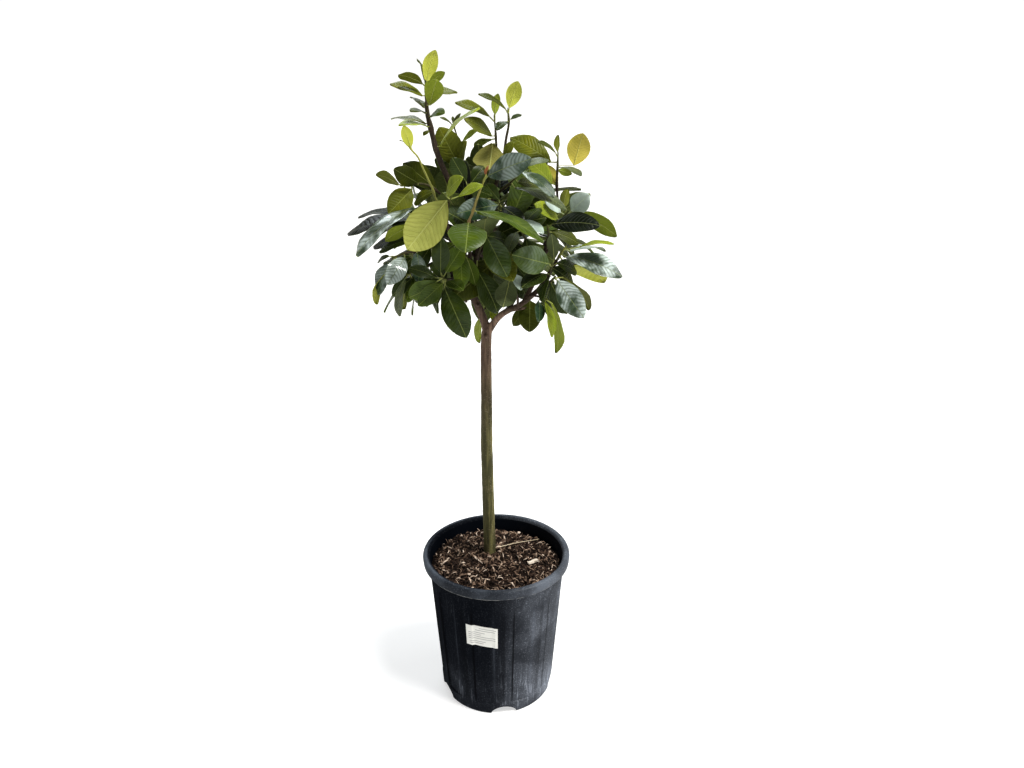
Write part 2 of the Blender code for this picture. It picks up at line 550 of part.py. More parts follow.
def leaf_solid(pose, thickness):
    """One leaf with its stalk: a grid three points wide, bent to the blade and given its thickness."""
    bm = bmesh.new()
    rows = len(BLADE_ROWS)
    bmesh.ops.create_grid(bm, x_segments=2, y_segments=rows, size=1.0)
    for vert in bm.verts:
        across = round(vert.co.x)
        row = round((vert.co.y + 1) / 2 * rows)
        if row == 0:
            vert.co = pose.root
        else:
            vert.co = blade_point(pose, BLADE_ROWS[row - 1], across)
    for vert in bm.verts:
        vert.co += pose.normal * (thickness - BLADE_THICKNESS) / 2
    bmesh.ops.remove_doubles(bm, verts=bm.verts, dist=0.00002)
    bmesh.ops.triangulate(bm, faces=bm.faces)
    bmesh.ops.recalc_face_normals(bm, faces=bm.faces)
    if sum((face.normal.dot(pose.normal) for face in bm.faces)) < 0:
        bmesh.ops.reverse_faces(bm, faces=bm.faces)
    bmesh.ops.solidify(bm, geom=bm.faces, thickness=thickness)
    bmesh.ops.recalc_face_normals(bm, faces=bm.faces)
    return bm


def seen_pose(leaf, stem, swing, roll, phase):
    """Pose of a leaf from its place in the view, its upper face as near the sky as its seen width lets it."""
    near_stem, place = nearest_on(stem, seen_at(*leaf.foot, 100 * point_along(stem, len(stem)).y))
    for _ in range(3):
        near_stem, place = nearest_on(stem, seen_at(*leaf.foot, 100 * near_stem.y))
    root = point_along(stem, min(max(place, ROOT_FIRST), len(stem) - ROOT_LAST))
    depth = 100 * root.y
    lean = leaf.lean + swing
    foot = seen_at(*leaf.foot, depth + FOOT_LEAN * lean)
    tip = seen_at(*leaf.tip, depth + lean)
    along = (tip - foot).normalized()
    middle = foot.lerp(tip, 0.5)
    sight = (EYE - middle).normalized()
    facing = (sight - along * sight.dot(along)).normalized()
    seen_width = leaf.wide / VIEW_FOCUS * eye_distance(middle)
    width = max(BLADE_RATIO * (tip - foot).length, seen_width)
    turn = math.acos(min(1.0, seen_width / width))
    turned_faces = [Matrix.Rotation(sign * turn, 3, along) @ facing for sign in (1, -1)]
    normal = max((leaf.shows * face for face in turned_faces), key=lambda face: face.z)
    return Pose(root, foot, tip, Matrix.Rotation(roll, 3, along) @ normal, width, phase)


def place_seen_leaf(leaf, stem, owner, obstacles, phase):
    """Pose clear of all else: the tip swings along the line of sight, then the blade rolls."""
    swings = [0.0]
    for step in range(1, SWING_COUNT + 1):
        swings += [-SWING_STEP * step, SWING_STEP * step]
    for own_leaves_too in (True, False):
        for roll in ROLLS:
            for swing in swings:
                pose = seen_pose(leaf, stem, swing, roll, phase)
                if is_clear(pose, owner, obstacles, own_leaves_too):
                    return pose
    return None


def between(ends, index):
    """Value for a hidden shoot's leaf, from the first leaf's to the last one's."""
    return ends[0] + (ends[1] - ends[0]) * index / (HIDDEN_LEAVES - 1)


def hidden_pose(stem, index, turn, spread, length, phase):
    """Pose of a leaf that follows the growth rule: each a two-fifths turn round the stem from the last."""
    place = between(HIDDEN_PLACES, index) * (len(stem) - 1)
    root = point_along(stem, min(place, len(stem) - ROOT_LAST))
    axis = (stem[-1] - stem[0]).normalized()
    across = axis.orthogonal().normalized()
    outward = Matrix.Rotation(index * LEAF_TURN + turn, 3, axis) @ across
    along = axis * math.cos(spread) + outward * math.sin(spread) - Vector((0.0, 0.0, HIDDEN_DROOP))
    along.normalize()
    skyward = axis * SHOOTWARD + Vector((0.0, 0.0, SKYWARD))
    normal = (skyward - along * skyward.dot(along)).normalized()
    foot = root + along * STALK_LENGTH
    return Pose(root, foot, foot + along * length, normal, length * BLADE_RATIO, phase)


def place_hidden_leaf(stem, index, owner, obstacles, draw):
    length = draw.uniform(*HIDDEN_LENGTH)
    phase = draw.random()
    for own_leaves_too in (True, False):
        for size in SIZE_STEPS:
            for spread_step in SPREAD_STEPS:
                spread = between(HIDDEN_SPREADS, index) + spread_step
                for turn in TURN_STEPS:
                    pose = hidden_pose(stem, index, turn, spread, length * size, phase)
                    if is_clear(pose, owner, obstacles, own_leaves_too):
                        return pose
    return None


def hidden_shoots():
    """Stems of the shoots inside and behind, each from the crown's middle towards its outline."""
    for number, (turn_degrees, rise_degrees, end) in enumerate(HIDDEN_SHOOTS, 1):
        turn = math.radians(turn_degrees)
        rise = math.radians(rise_degrees)
        level = math.cos(rise)
        direction = Vector((math.cos(turn) * level, math.sin(turn) * level, math.sin(rise)))
        reach = Vector(size * part for size, part in zip(CROWN_RADII, direction))
        stem = [CROWN_MIDDLE + reach * (end - HIDDEN_STEM_LENGTH * back) for back in (1.0, 0.5, 0.0)]
        stem[1].z += HIDDEN_STEM_BOW
        yield "shoot_hidden_%02d" % number, stem


def spur_route(limb_route, shoot_start, direction):
    """Route from a limb to a shoot's start: it leaves the limb at a slant and ends in line with the shoot."""
    _, place = nearest_on(limb_route, shoot_start)
    spot = point_along(limb_route, place)
    spread = (shoot_start - spot).length
    stretch = max(SHORTEST_STRETCH, (limb_route[1] - limb_route[0]).length)
    leave = point_along(limb_route, place - SPUR_SLANT * spread / stretch)
    straight_end = min(SPUR_END, SPUR_END_SHARE * (shoot_start - leave).length)
    return [leave, shoot_start - direction * straight_end, shoot_start]


for existing in list(bpy.data.objects):
    bpy.data.objects.remove(existing)
parts = bpy.data.collections.new(COLLECTION)
bpy.context.scene.collection.children.link(parts)
cutters = bpy.data.collections.new("cutters")
bpy.context.scene.collection.children.link(cutters)

pot_plastic = new_material("pot plastic", (0.020, 0.024, 0.032), 0.55)
potting_bark = new_material("potting bark", (0.110, 0.065, 0.035), 0.95)
bark = new_material("bark", (0.130, 0.095, 0.055), 0.85)
leaf_green = new_material("leaf green", (0.070, 0.120, 0.030), 0.40)
paper = new_material("paper", (0.850, 0.850, 0.830), 0.60)


# Pot
def body_radius(height):
    """Outside radius of the plain wall, which narrows evenly from the lip to the foot."""
    return BODY_FOOT_RADIUS + (BODY_TOP_RADIUS - BODY_FOOT_RADIUS) * height / (POT_HEIGHT - LIP_DROP)


def panel_share(turn):
    """1 in a sunk panel, 0 on a rib; turn is measured round the pot from its front."""
    pitch = math.tau / PANEL_COUNT
    place = (turn - PANEL_START) % pitch
    return 1.0 if COLUMN_TURNS[1] - TURN_TOLERANCE < place < COLUMN_TURNS[3] + TURN_TOLERANCE else 0.0


def notch_lift(turn):
    """Height of the foot's edge above the ground: smooth drain notches between the feet."""
    pitch = math.tau / NOTCH_COUNT
    off_middle = (turn - NOTCH_MIDDLE + pitch / 2) % pitch - pitch / 2
    if abs(off_middle) >= NOTCH_HALF_WIDTH:
        return 0.0
    return NOTCH_HEIGHT * math.cos(math.pi / 2 * off_middle / NOTCH_HALF_WIDTH) ** 0.6


neck_height = POT_HEIGHT - NECK_DROP
foot_radius = body_radius(FOOT_RISE)
pot_profile = (
    (0.0, FLOOR), (CHANNEL_INNER, FLOOR), (foot_radius - WALL, FLOOR),
    (MOUTH_RADIUS - 0.0025, POT_HEIGHT - 0.006),
    (MOUTH_RADIUS, POT_HEIGHT), (LIP_RADIUS - 0.0035, POT_HEIGHT), (LIP_RADIUS - 0.0006, POT_HEIGHT - 0.0025),
    (LIP_RADIUS, POT_HEIGHT - 0.007), (LIP_RADIUS - 0.0016, POT_HEIGHT - LIP_DROP + 0.001),
    (BODY_TOP_RADIUS, POT_HEIGHT - LIP_DROP), (body_radius(neck_height), neck_height),
    (body_radius(neck_height - PANEL_LEDGE), neck_height - PANEL_LEDGE),
    (body_radius(PANEL_BOTTOM), PANEL_BOTTOM),
    (body_radius(PANEL_BOTTOM - PANEL_LEDGE), PANEL_BOTTOM - PANEL_LEDGE),
    (foot_radius, FOOT_RISE), (foot_radius - 0.003, 0.0),
    (CHANNEL_INNER, 0.0), (0.0, 0.0))
column_count = PANEL_COUNT * len(COLUMN_TURNS)
pot = turned("pot", pot_profile, column_count, parts)
for vertex in pot.data.vertices:
    radius = math.hypot(vertex.co.x, vertex.co.y)
    if radius < 0.001:
        continue
    column = round(math.atan2(vertex.co.y, vertex.co.x) / math.tau * column_count) % column_count
    panel, within = divmod(column, len(COLUMN_TURNS))
    turn = PANEL_START + panel * math.tau / PANEL_COUNT + COLUMN_TURNS[within]
    height = vertex.co.z
    on_panel = PANEL_BOTTOM - 0.001 < height < neck_height - 0.001 and radius > body_radius(height) - 0.001
    if on_panel:
        radius -= PANEL_DEPTH * panel_share(turn)
    if height < FOOT_RISE + 0.001 and radius > CHANNEL_INNER + 0.005:
        height += notch_lift(turn)
    vertex.co = (radius * math.sin(turn), -radius * math.cos(turn), height)
for number in range(NOTCH_COUNT):
    turn = NOTCH_MIDDLE + number * math.tau / NOTCH_COUNT
    spot = (DRAIN_RING * math.sin(turn), -DRAIN_RING * math.cos(turn), 0.0)
    drill = drill_at("drain_cutter_%d" % number, spot, DRAIN_RADIUS, DRAIN_SIDES, 4 * NOTCH_HEIGHT)
    drain = pot.modifiers.new("Drain", "BOOLEAN")
    drain.operation = "DIFFERENCE"
    drain.object = drill
finish_mesh(pot, pot_plastic)

# Soil
soil_top = POT_HEIGHT - SOIL_DROP


def inner_radius(height):
    return body_radius(height) - WALL - SOIL_SHRINKAGE


soil_profile = [(radius, soil_top + rise) for radius, rise in SOIL_MOUND]
soil_profile += [(inner_radius(soil_top), soil_top - SOIL_EDGE_DROP),
                 (inner_radius(SOIL_BOTTOM), SOIL_BOTTOM), (0.0, SOIL_BOTTOM)]
soil = turned("soil", soil_profile, SOIL_SIDES, parts)
draw = random.Random(11)
for vertex in soil.data.vertices:
    if vertex.co.z > soil_top - SOIL_EDGE_DROP / 2:
        vertex.co.z += draw.uniform(-SOIL_ROUGHNESS, SOIL_ROUGHNESS)
        vertex.co.z -= SOIL_SLOPE * max(0.0, vertex.co.x + vertex.co.y)
finish_mesh(soil, potting_bark)

# Trunk: its foot stands in a plain hole in the soil
foot = seen_at(*TRUNK_FOOT)
stand = soil.modifiers.new("Trunk hole", "BOOLEAN")
stand.operation = "DIFFERENCE"
stand.object = drill_at("trunk_cutter", (foot.x, foot.y, soil_top), HOLE_RADIUS, HOLE_SIDES, 2 * HOLE_DEPTH)

buried = Vector((foot.x, foot.y, soil_top - HOLE_DEPTH + TOUCH_GAP))
collar = Vector((foot.x, foot.y, soil_top + TRUNK_COLLAR))
above = smooth_route([collar] + [seen_at(*spot) for spot in TRUNK_ROUTE], 2)
limb_routes = {"trunk": [buried] + above}
trunk = tube("trunk", limb_routes["trunk"], TRUNK_RADII, TRUNK_SIDES, parts)
wood = bpy.data.collections.new("wood")
bpy.context.scene.collection.children.link(wood)
for limb in LIMBS:
    limb_routes[limb.name] = [seen_at(*spot) for spot in limb.route]
    sides = MAIN_LIMB_SIDES if limb.name in MAIN_LIMBS else TWIG_SIDES
    tube(limb.name, limb_routes[limb.name], limb.radii, sides, wood)

# Shoots: every stem first, then the leaves, so that no leaf crosses a stem
stems = {}
for shoot in SHOOTS:
    stems[shoot.name] = (shoot.limb, [seen_at(*spot) for spot in shoot.stem], shoot.radii)
for name, stem in hidden_shoots():
    nearest = {limb: nearest_on(route, stem[0])[0] for limb, route in limb_routes.items()}
    limb = min(nearest, key=lambda limb_name: (nearest[limb_name] - stem[0]).length)
    stems[name] = (limb, stem, HIDDEN_RADII)

obstacles = []
stem_objects = {}
for name, (limb, stem, radii) in stems.items():
    direction = (stem[1] - stem[0]).normalized()
    spur_radii = [radii[0] * swell for swell in SPUR_SWELL]
    tube("spur_" + name, spur_route(limb_routes[limb], stem[0], direction), spur_radii, TWIG_SIDES, wood)
    stem[0] = stem[0] + direction * TOUCH_GAP
    stem_objects[name] = tube(name, stem, radii, TWIG_SIDES, parts)
    obstacles.append(obstacle_of(stem_objects[name], name))
obstacles += [obstacle_of(piece, "trunk") for piece in [trunk, *wood.objects]]
join_all(trunk, wood)
level = trunk.modifiers.new("Flat faces", "DECIMATE")
level.decimate_type = "DISSOLVE"
level.angle_limit = math.radians(1.0)
finish_mesh(trunk, bark)


def grow_leaf(pose, name, collection):
    bm = leaf_solid(pose, BLADE_THICKNESS)
    obstacles.append(obstacle(bm, name, "leaf"))
    mesh_object("blade", bm, collection)


draw = random.Random(4)
blades = {}
for shoot in SHOOTS:
    blades[shoot.name] = bpy.data.collections.new("blades of " + shoot.name)
    bpy.context.scene.collection.children.link(blades[shoot.name])
    for leaf in shoot.leaves:
        pose = place_seen_leaf(leaf, stems[shoot.name][1], shoot.name, obstacles, draw.random())
        if pose:
            grow_leaf(pose, shoot.name, blades[shoot.name])
for name in stems:
    if name not in blades:
        blades[name] = bpy.data.collections.new("blades of " + name)
        bpy.context.scene.collection.children.link(blades[name])
        for index in range(HIDDEN_LEAVES):
            pose = place_hidden_leaf(stems[name][1], index, name, obstacles, draw)
            if pose:
                grow_leaf(pose, name, blades[name])
for name, stem_object in stem_objects.items():
    join_all(stem_object, blades[name])
    finish_mesh(stem_object, leaf_green)

# Sticker: it follows the pot's rib and panel
bm = bmesh.new()
columns = len(LABEL_TURNS) - 1
bmesh.ops.create_grid(bm, x_segments=columns, y_segments=1, size=1.0)
for vert in bm.verts:
    turn = LABEL_TURNS[round((vert.co.x + 1) / 2 * columns)]
    height = LABEL_TOP - LABEL_HEIGHT * (1 - vert.co.y) / 2
    height -= (turn - LABEL_TURNS[0]) * body_radius(height) * math.tan(LABEL_TILT)
    radius = body_radius(height) - PANEL_DEPTH * panel_share(turn) + 2 * TOUCH_GAP
    vert.co = (radius * math.sin(turn), -radius * math.cos(turn), height)
bm.normal_update()
if sum(face.normal.y for face in bm.faces) > 0:
    bmesh.ops.reverse_faces(bm, faces=bm.faces)
label = mesh_object("label", bm, parts)
backing = label.modifiers.new("Thickness", "SOLIDIFY")
backing.thickness = LABEL_THICKNESS
backing.offset = 1.0
finish_mesh(label, paper)
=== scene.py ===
import math
import random
from collections import namedtuple

import bmesh
import bpy
import numpy as np
from mathutils import Matrix, Vector, noise
from mathutils.bvhtree import BVHTree


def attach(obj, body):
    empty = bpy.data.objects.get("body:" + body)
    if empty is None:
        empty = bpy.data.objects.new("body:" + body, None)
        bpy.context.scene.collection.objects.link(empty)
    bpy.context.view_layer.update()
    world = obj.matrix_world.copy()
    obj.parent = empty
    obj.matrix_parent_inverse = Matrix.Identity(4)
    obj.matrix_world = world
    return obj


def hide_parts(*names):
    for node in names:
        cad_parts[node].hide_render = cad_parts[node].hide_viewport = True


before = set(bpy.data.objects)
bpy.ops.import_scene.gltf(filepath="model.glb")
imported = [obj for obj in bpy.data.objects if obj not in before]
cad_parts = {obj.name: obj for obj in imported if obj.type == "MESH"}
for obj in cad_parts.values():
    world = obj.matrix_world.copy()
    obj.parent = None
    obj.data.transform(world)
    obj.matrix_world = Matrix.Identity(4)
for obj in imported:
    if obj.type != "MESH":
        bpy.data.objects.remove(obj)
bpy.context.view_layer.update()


# Viewpoint: a camera level with the crown, in front of the plant, looking down on the pot. Places on the
# plant are named by where its view shows them, in a view 1024 wide and 768 high, and by how far behind the
# pot's axis they lie in centimetres.
VIEW_WIDTH = 1024.0
VIEW_MIDDLE = (512.0, 384.0)
VIEW_FOCUS = 750.0
EYE = Vector((0.030, -1.250, 1.069))
EYE_PITCH = math.radians(-19.4)
RIGHTWARD = Vector((1.0, 0.0, 0.0))
FORWARD = Vector((0.0, math.cos(EYE_PITCH), math.sin(EYE_PITCH)))
UPWARD = Vector((0.0, -math.sin(EYE_PITCH), math.cos(EYE_PITCH)))


def seen_at(across, down, behind_cm):
    """Point on the sight line through (across, down) of the view, so far behind the pot's axis."""
    ray = FORWARD + RIGHTWARD * (across - VIEW_MIDDLE[0]) / VIEW_FOCUS
    ray += UPWARD * (VIEW_MIDDLE[1] - down) / VIEW_FOCUS
    return EYE + ray * ((behind_cm / 100.0 - EYE.y) / ray.y)


def new_object(name, data):
    made = bpy.data.objects.new(name, data)
    bpy.context.scene.collection.objects.link(made)
    return made


lens = bpy.data.cameras.new("viewpoint")
lens.sensor_width = 36.0
lens.lens = lens.sensor_width * VIEW_FOCUS / VIEW_WIDTH
viewpoint = new_object("viewpoint", lens)
viewpoint.location = EYE
viewpoint.rotation_euler = (math.radians(90.0) + EYE_PITCH, 0.0, 0.0)
bpy.context.scene.camera = viewpoint


# Pot: a blow-moulded nursery container of black polyethylene, its wall stiffened by ten sunk panels under a
# rolled lip, with five arched notches and five holes at the foot for water. It is scuffed and dusty from
# the field. Its right side is painted lighter, and its panels carry painted light and shade, for the lamp's
# light.
POT_HEIGHT = 0.293
LIP_RADIUS = 0.140
MOUTH_RADIUS = 0.1285
LIP_DROP = 0.018
# The lip's section: in from its edge and up from its foot, in from its edge and down from its top, and out
# from the mouth and down from its top
LIP_UNDERSIDE = ((0.0040, 0.0), (0.0022, 0.0003), (0.0012, 0.0014), (0.0009, 0.0035))
LIP_ROLL = ((0.0003, 0.0095), (0.0, 0.0065), (0.0003, 0.0038), (0.0013, 0.0018), (0.0030, 0.0005),
            (0.0050, 0.0))
LIP_MOUTH = ((0.0030, 0.0002), (0.0008, 0.0012), (-0.0008, 0.0035), (-0.0020, 0.0070))
NECK_DROP = 0.042
BODY_TOP_RADIUS = 0.1295
BODY_FOOT_RADIUS = 0.1090
WALL = 0.0040
FLOOR = 0.0030
PANEL_COUNT = 10
PANEL_DEPTH = 0.0026
PANEL_START = math.radians(-18.0)
PANEL_EDGES = (math.radians(-2.2), math.radians(-1.2), math.radians(15.5), math.radians(17.8))
PANEL_BOTTOM = 0.026
PANEL_LEDGE = 0.003
FOOT_EDGE = 0.004
NOTCH_COUNT = 5
NOTCH_MIDDLE = math.radians(8.0)
NOTCH_HALF_WIDTH = math.radians(13.0)
NOTCH_HEIGHT = 0.010
NOTCH_REACH = 0.022
CHANNEL_INNER = 0.062
DRAIN_RADIUS = 0.006
DRAIN_RING = 0.082
DRAIN_SIDES = 20
DRILL_LENGTH = 0.04
POT_COLUMNS = 360
# Painted light and shade round each panel, in degrees past its left edge: middle, width and how much (above
# 0 a painted highlight, below 0 painted shade)
PANEL_LIGHT_AND_SHADE = ((8.5, 5.0, 0.30), (16.6, 1.3, 0.45), (-1.6, 1.6, -0.80), (25.0, 5.0, -0.30))
NECK_HEIGHT = POT_HEIGHT - NECK_DROP
POT_BLACK = (0.0034, 0.0046, 0.0076)
PANEL_SHADE_BLACK = (0.0016, 0.0020, 0.0030)
PANEL_HIGHLIGHT_GREY = (0.105, 0.118, 0.145)
LIP_GREY = (0.108, 0.124, 0.150)
FLASH_GREY = (0.36, 0.36, 0.34)
DUST_AND_LIGHT_GREY = (0.230, 0.250, 0.290)


class Wire:
    """A socket of a material. Arithmetic on wires adds Math nodes, and node() adds any other kind."""

    def __init__(self, tree, socket=None):
        self.tree = tree
        self.socket = socket

    def node(self, kind, settings=None, sockets=None, output=0):
        made = self.tree.nodes.new(kind)
        for name, value in (settings or {}).items():
            if name == "stops":
                ramp = made.color_ramp.elements
                for index, (place, colour) in enumerate(value):
                    stop = ramp[index] if index < 2 else ramp.new(place)
                    stop.position = place
                    stop.color = (*colour, 1.0)
            else:
                setattr(made, name, value)
        for name, value in (sockets or {}).items():
            if isinstance(value, Wire):
                self.tree.links.new(value.socket, made.inputs[name])
            else:
                made.inputs[name].default_value = value
        return Wire(self.tree, made.outputs[output])

    def maths(self, operation, first, second=0.0):
        return self.node("ShaderNodeMath", {"operation": operation}, {0: first, 1: second})

    def __add__(self, other):
        return self.maths("ADD", self, other)

    def __radd__(self, other):
        return self.maths("ADD", other, self)

    def __sub__(self, other):
        return self.maths("SUBTRACT", self, other)

    def __rsub__(self, other):
        return self.maths("SUBTRACT", other, self)

    def __mul__(self, other):
        return self.maths("MULTIPLY", self, other)

    def __rmul__(self, other):
        return self.maths("MULTIPLY", other, self)

    def __gt__(self, other):
        return self.maths("GREATER_THAN", self, other)

    def __abs__(self):
        return self.maths("ABSOLUTE", self)


def ease(value, low, high):
    """0 below low, 1 above high, and a smooth rise between."""
    return value.node("ShaderNodeMapRange", {"interpolation_type": "SMOOTHSTEP"},
                      {"Value": value, "From Min": low, "From Max": high})


def blend(share, first, second):
    """Colour between two colours. Either share or the first colour is a wire."""
    first_end, second_end = (end if isinstance(end, Wire) else (*end, 1.0) for end in (first, second))
    wire = share if isinstance(share, Wire) else first
    return wire.node("ShaderNodeMix", {"data_type": "RGBA"}, {0: share, 6: first_end, 7: second_end}, 2)


def place_on_piece(start, stretch=(1.0, 1.0, 1.0)):
    """The piece's own coordinates in metres, stretched or squeezed along X, Y and Z."""
    place = start.node("ShaderNodeTexCoord", output=3)
    return start.node("ShaderNodeMapping", {}, {"Vector": place, "Scale": stretch})


def grain(place, scale, detail=3.0, roughness=0.55):
    return place.node("ShaderNodeTexNoise", {}, {"Vector": place, "Scale": scale, "Detail": detail,
                                                 "Roughness": roughness})


def part_of(place, axis):
    """One coordinate of a place: 0 for X, 1 for Y, 2 for Z."""
    return place.node("ShaderNodeSeparateXYZ", {}, {"Vector": place}, output=axis)


def kept_value(start, name, output=2):
    """What a mesh attribute keeps: a number (output 2), a colour (0) or the colour's alpha (3)."""
    return start.node("ShaderNodeAttribute", {"attribute_name": name}, output=output)


def new_finish(name, **constants):
    """A material, a wire to start its nodes from, and the sockets of its shader."""
    finish = bpy.data.materials.new(name)
    finish.use_nodes = True
    shader = finish.node_tree.nodes["Principled BSDF"]
    for socket, value in constants.items():
        shader.inputs[socket.replace("_", " ")].default_value = value
    return finish, Wire(finish.node_tree), shader.inputs


def feed(wire, socket):
    wire.tree.links.new(wire.socket, socket)


def bump(height, strength, distance):
    return height.node("ShaderNodeBump", {}, {"Strength": strength, "Distance": distance, "Height": height})


def select_only(*chosen):
    bpy.ops.object.select_all(action="DESELECT")
    for piece in chosen:
        piece.select_set(True)
    bpy.context.view_layer.objects.active = chosen[0]


def begin(name, primitive, **settings):
    """Adds a primitive with nothing else selected, and names it."""
    bpy.ops.object.select_all(action="DESELECT")
    primitive(**settings)
    piece = bpy.context.object
    piece.name = name
    return piece


def edit_whole(piece):
    """Goes into edit mode with all of the piece selected."""
    select_only(piece)
    bpy.ops.object.mode_set(mode="EDIT")
    bpy.ops.mesh.select_all(action="SELECT")


def apply_all(piece):
    select_only(piece)
    for modifier in list(piece.modifiers):
        bpy.ops.object.modifier_apply(modifier=modifier.name)


def smooth_piece(piece, angle):
    select_only(piece)
    bpy.ops.object.shade_smooth_by_angle(angle=math.radians(angle))


def face_outwards(piece):
    edit_whole(piece)
    bpy.ops.mesh.remove_doubles(threshold=0.00001)
    bpy.ops.mesh.normals_make_consistent(inside=False)
    bpy.ops.object.mode_set(mode="OBJECT")


def cut_long_edges(piece, axis, cuts):
    """Cuts the edges that run along an axis (0, 1 or 2) of a primitive, and no others."""
    select_only(piece)
    bpy.ops.object.mode_set(mode="EDIT")
    bpy.ops.mesh.select_mode(type="EDGE")
    bpy.ops.mesh.select_all(action="DESELECT")
    bpy.ops.object.mode_set(mode="OBJECT")
    places = [vertex.co.copy() for vertex in piece.data.vertices]
    for edge in piece.data.edges:
        first, second = (places[index] for index in edge.vertices)
        edge.select = abs(first[axis] - second[axis]) > 0.5
    bpy.ops.object.mode_set(mode="EDIT")
    bpy.ops.mesh.subdivide(number_cuts=cuts)
    bpy.ops.mesh.select_mode(type="VERT")
    bpy.ops.object.mode_set(mode="OBJECT")


def wear_finish(piece, *finishes):
    """Gives a piece its finishes. Any it has are swapped, so that its faces keep their numbers."""
    slots = piece.data.materials
    for number, finish in enumerate(finishes):
        if number < len(slots):
            slots[number] = finish
        else:
            slots.append(finish)


def ramp_share(value, low, high):
    """0 below low, 1 above high, and a smooth rise between, for a number."""
    share = min(1.0, max(0.0, (value - low) / (high - low)))
    return share * share * (3 - 2 * share)


def body_radius(height):
    """Outside radius of the plain wall, which narrows evenly from the lip to the foot."""
    return BODY_FOOT_RADIUS + (BODY_TOP_RADIUS - BODY_FOOT_RADIUS) * height / (POT_HEIGHT - LIP_DROP)


def panel_share(turn):
    """About 1 in a sunk panel, deepest at its left, and 0 on a rib. The front of the pot is at turn 0."""
    pitch = math.tau / PANEL_COUNT
    place = (turn - PANEL_START + pitch / 2) % pitch - pitch / 2
    if place < PANEL_EDGES[0]:
        place += pitch
    depth = 1.15 - 0.45 * ramp_share(place, 0.0, PANEL_EDGES[3])
    return depth * ramp_share(place, *PANEL_EDGES[:2]) * (1.0 - ramp_share(place, *PANEL_EDGES[2:]))


def panel_sink(turn, height):
    """How far in the wall lies: the panels' upper ends fade, and their lower ends stop at a ledge."""
    top = 1.0 - ramp_share(height, NECK_HEIGHT - PANEL_LEDGE, NECK_HEIGHT)
    bottom = ramp_share(height, PANEL_BOTTOM - PANEL_LEDGE, PANEL_BOTTOM - 0.001)
    return PANEL_DEPTH * panel_share(turn) * top * bottom


def notch_lift(turn):
    """Height of the foot's edge above the ground: smooth drain notches between the feet."""
    pitch = math.tau / NOTCH_COUNT
    off_middle = (turn - NOTCH_MIDDLE + pitch / 2) % pitch - pitch / 2
    if abs(off_middle) >= NOTCH_HALF_WIDTH:
        return 0.0
    return NOTCH_HEIGHT * math.cos(math.pi / 2 * off_middle / NOTCH_HALF_WIDTH) ** 0.6


foot_radius = body_radius(FOOT_EDGE)
lip_foot = POT_HEIGHT - LIP_DROP
wall_heights = [FOOT_EDGE, 0.009, 0.014, 0.019, PANEL_BOTTOM - PANEL_LEDGE, PANEL_BOTTOM - 0.002,
                PANEL_BOTTOM - 0.001, PANEL_BOTTOM + 0.002, 0.050, 0.080, 0.110, 0.140, 0.170, 0.200, 0.230,
                NECK_HEIGHT - 0.006, NECK_HEIGHT - PANEL_LEDGE, NECK_HEIGHT - 0.0015, NECK_HEIGHT,
                NECK_HEIGHT + 0.004, lip_foot - 0.004, lip_foot - 0.0005]
pot_rings = [(CHANNEL_INNER, 0.0), (CHANNEL_INNER + 0.006, 0.0), (foot_radius - 0.010, 0.0),
             (foot_radius - 0.0035, 0.0), (foot_radius - 0.0012, 0.0010)]
pot_rings += [(body_radius(height), height) for height in wall_heights]
pot_rings += [(LIP_RADIUS - inwards, lip_foot + up) for inwards, up in LIP_UNDERSIDE]
pot_rings += [(LIP_RADIUS - inwards, POT_HEIGHT - down) for inwards, down in LIP_ROLL]
pot_rings += [(MOUTH_RADIUS + outwards, POT_HEIGHT - down) for outwards, down in LIP_MOUTH]
pot_rings += [(body_radius(height) - WALL, height) for height in (0.250, 0.150, 0.030)]
pot_rings += [(foot_radius - WALL - 0.001, FLOOR + 0.004), (foot_radius - WALL - 0.005, FLOOR),
              (CHANNEL_INNER + 0.0065, FLOOR), (CHANNEL_INNER, FLOOR)]

pot = begin("nursery_pot", bpy.ops.mesh.primitive_circle_add, vertices=POT_COLUMNS, radius=pot_rings[0][0],
            fill_type="NOTHING")
edit_whole(pot)
for (before, low), (after, high) in zip(pot_rings, pot_rings[1:]):
    bpy.ops.mesh.extrude_region_move(TRANSFORM_OT_translate={"value": (0.0, 0.0, high - low)})
    bpy.ops.transform.resize(value=(after / before, after / before, 1.0), center_override=(0.0, 0.0, high))
bpy.ops.mesh.fill()
bpy.ops.mesh.select_all(action="DESELECT")
bpy.ops.mesh.select_non_manifold()
bpy.ops.mesh.fill()
bpy.ops.object.mode_set(mode="OBJECT")
for vertex in pot.data.vertices:
    radius = math.hypot(vertex.co.x, vertex.co.y)
    turn = math.atan2(vertex.co.x, -vertex.co.y)
    height = vertex.co.z
    if radius > body_radius(height) - WALL / 2 and height < lip_foot - 0.002:
        sunk = radius - panel_sink(turn, height)
        vertex.co.x *= sunk / radius
        vertex.co.y *= sunk / radius
    if height < NOTCH_REACH and radius > CHANNEL_INNER + 0.005:
        arch = 1.0 + 0.4 * ramp_share(radius, foot_radius - 0.0085, foot_radius - 0.0035)
        vertex.co.z += notch_lift(turn) * arch * (1.0 - max(0.0, height - FLOOR) / NOTCH_REACH) ** 1.5
face_outwards(pot)

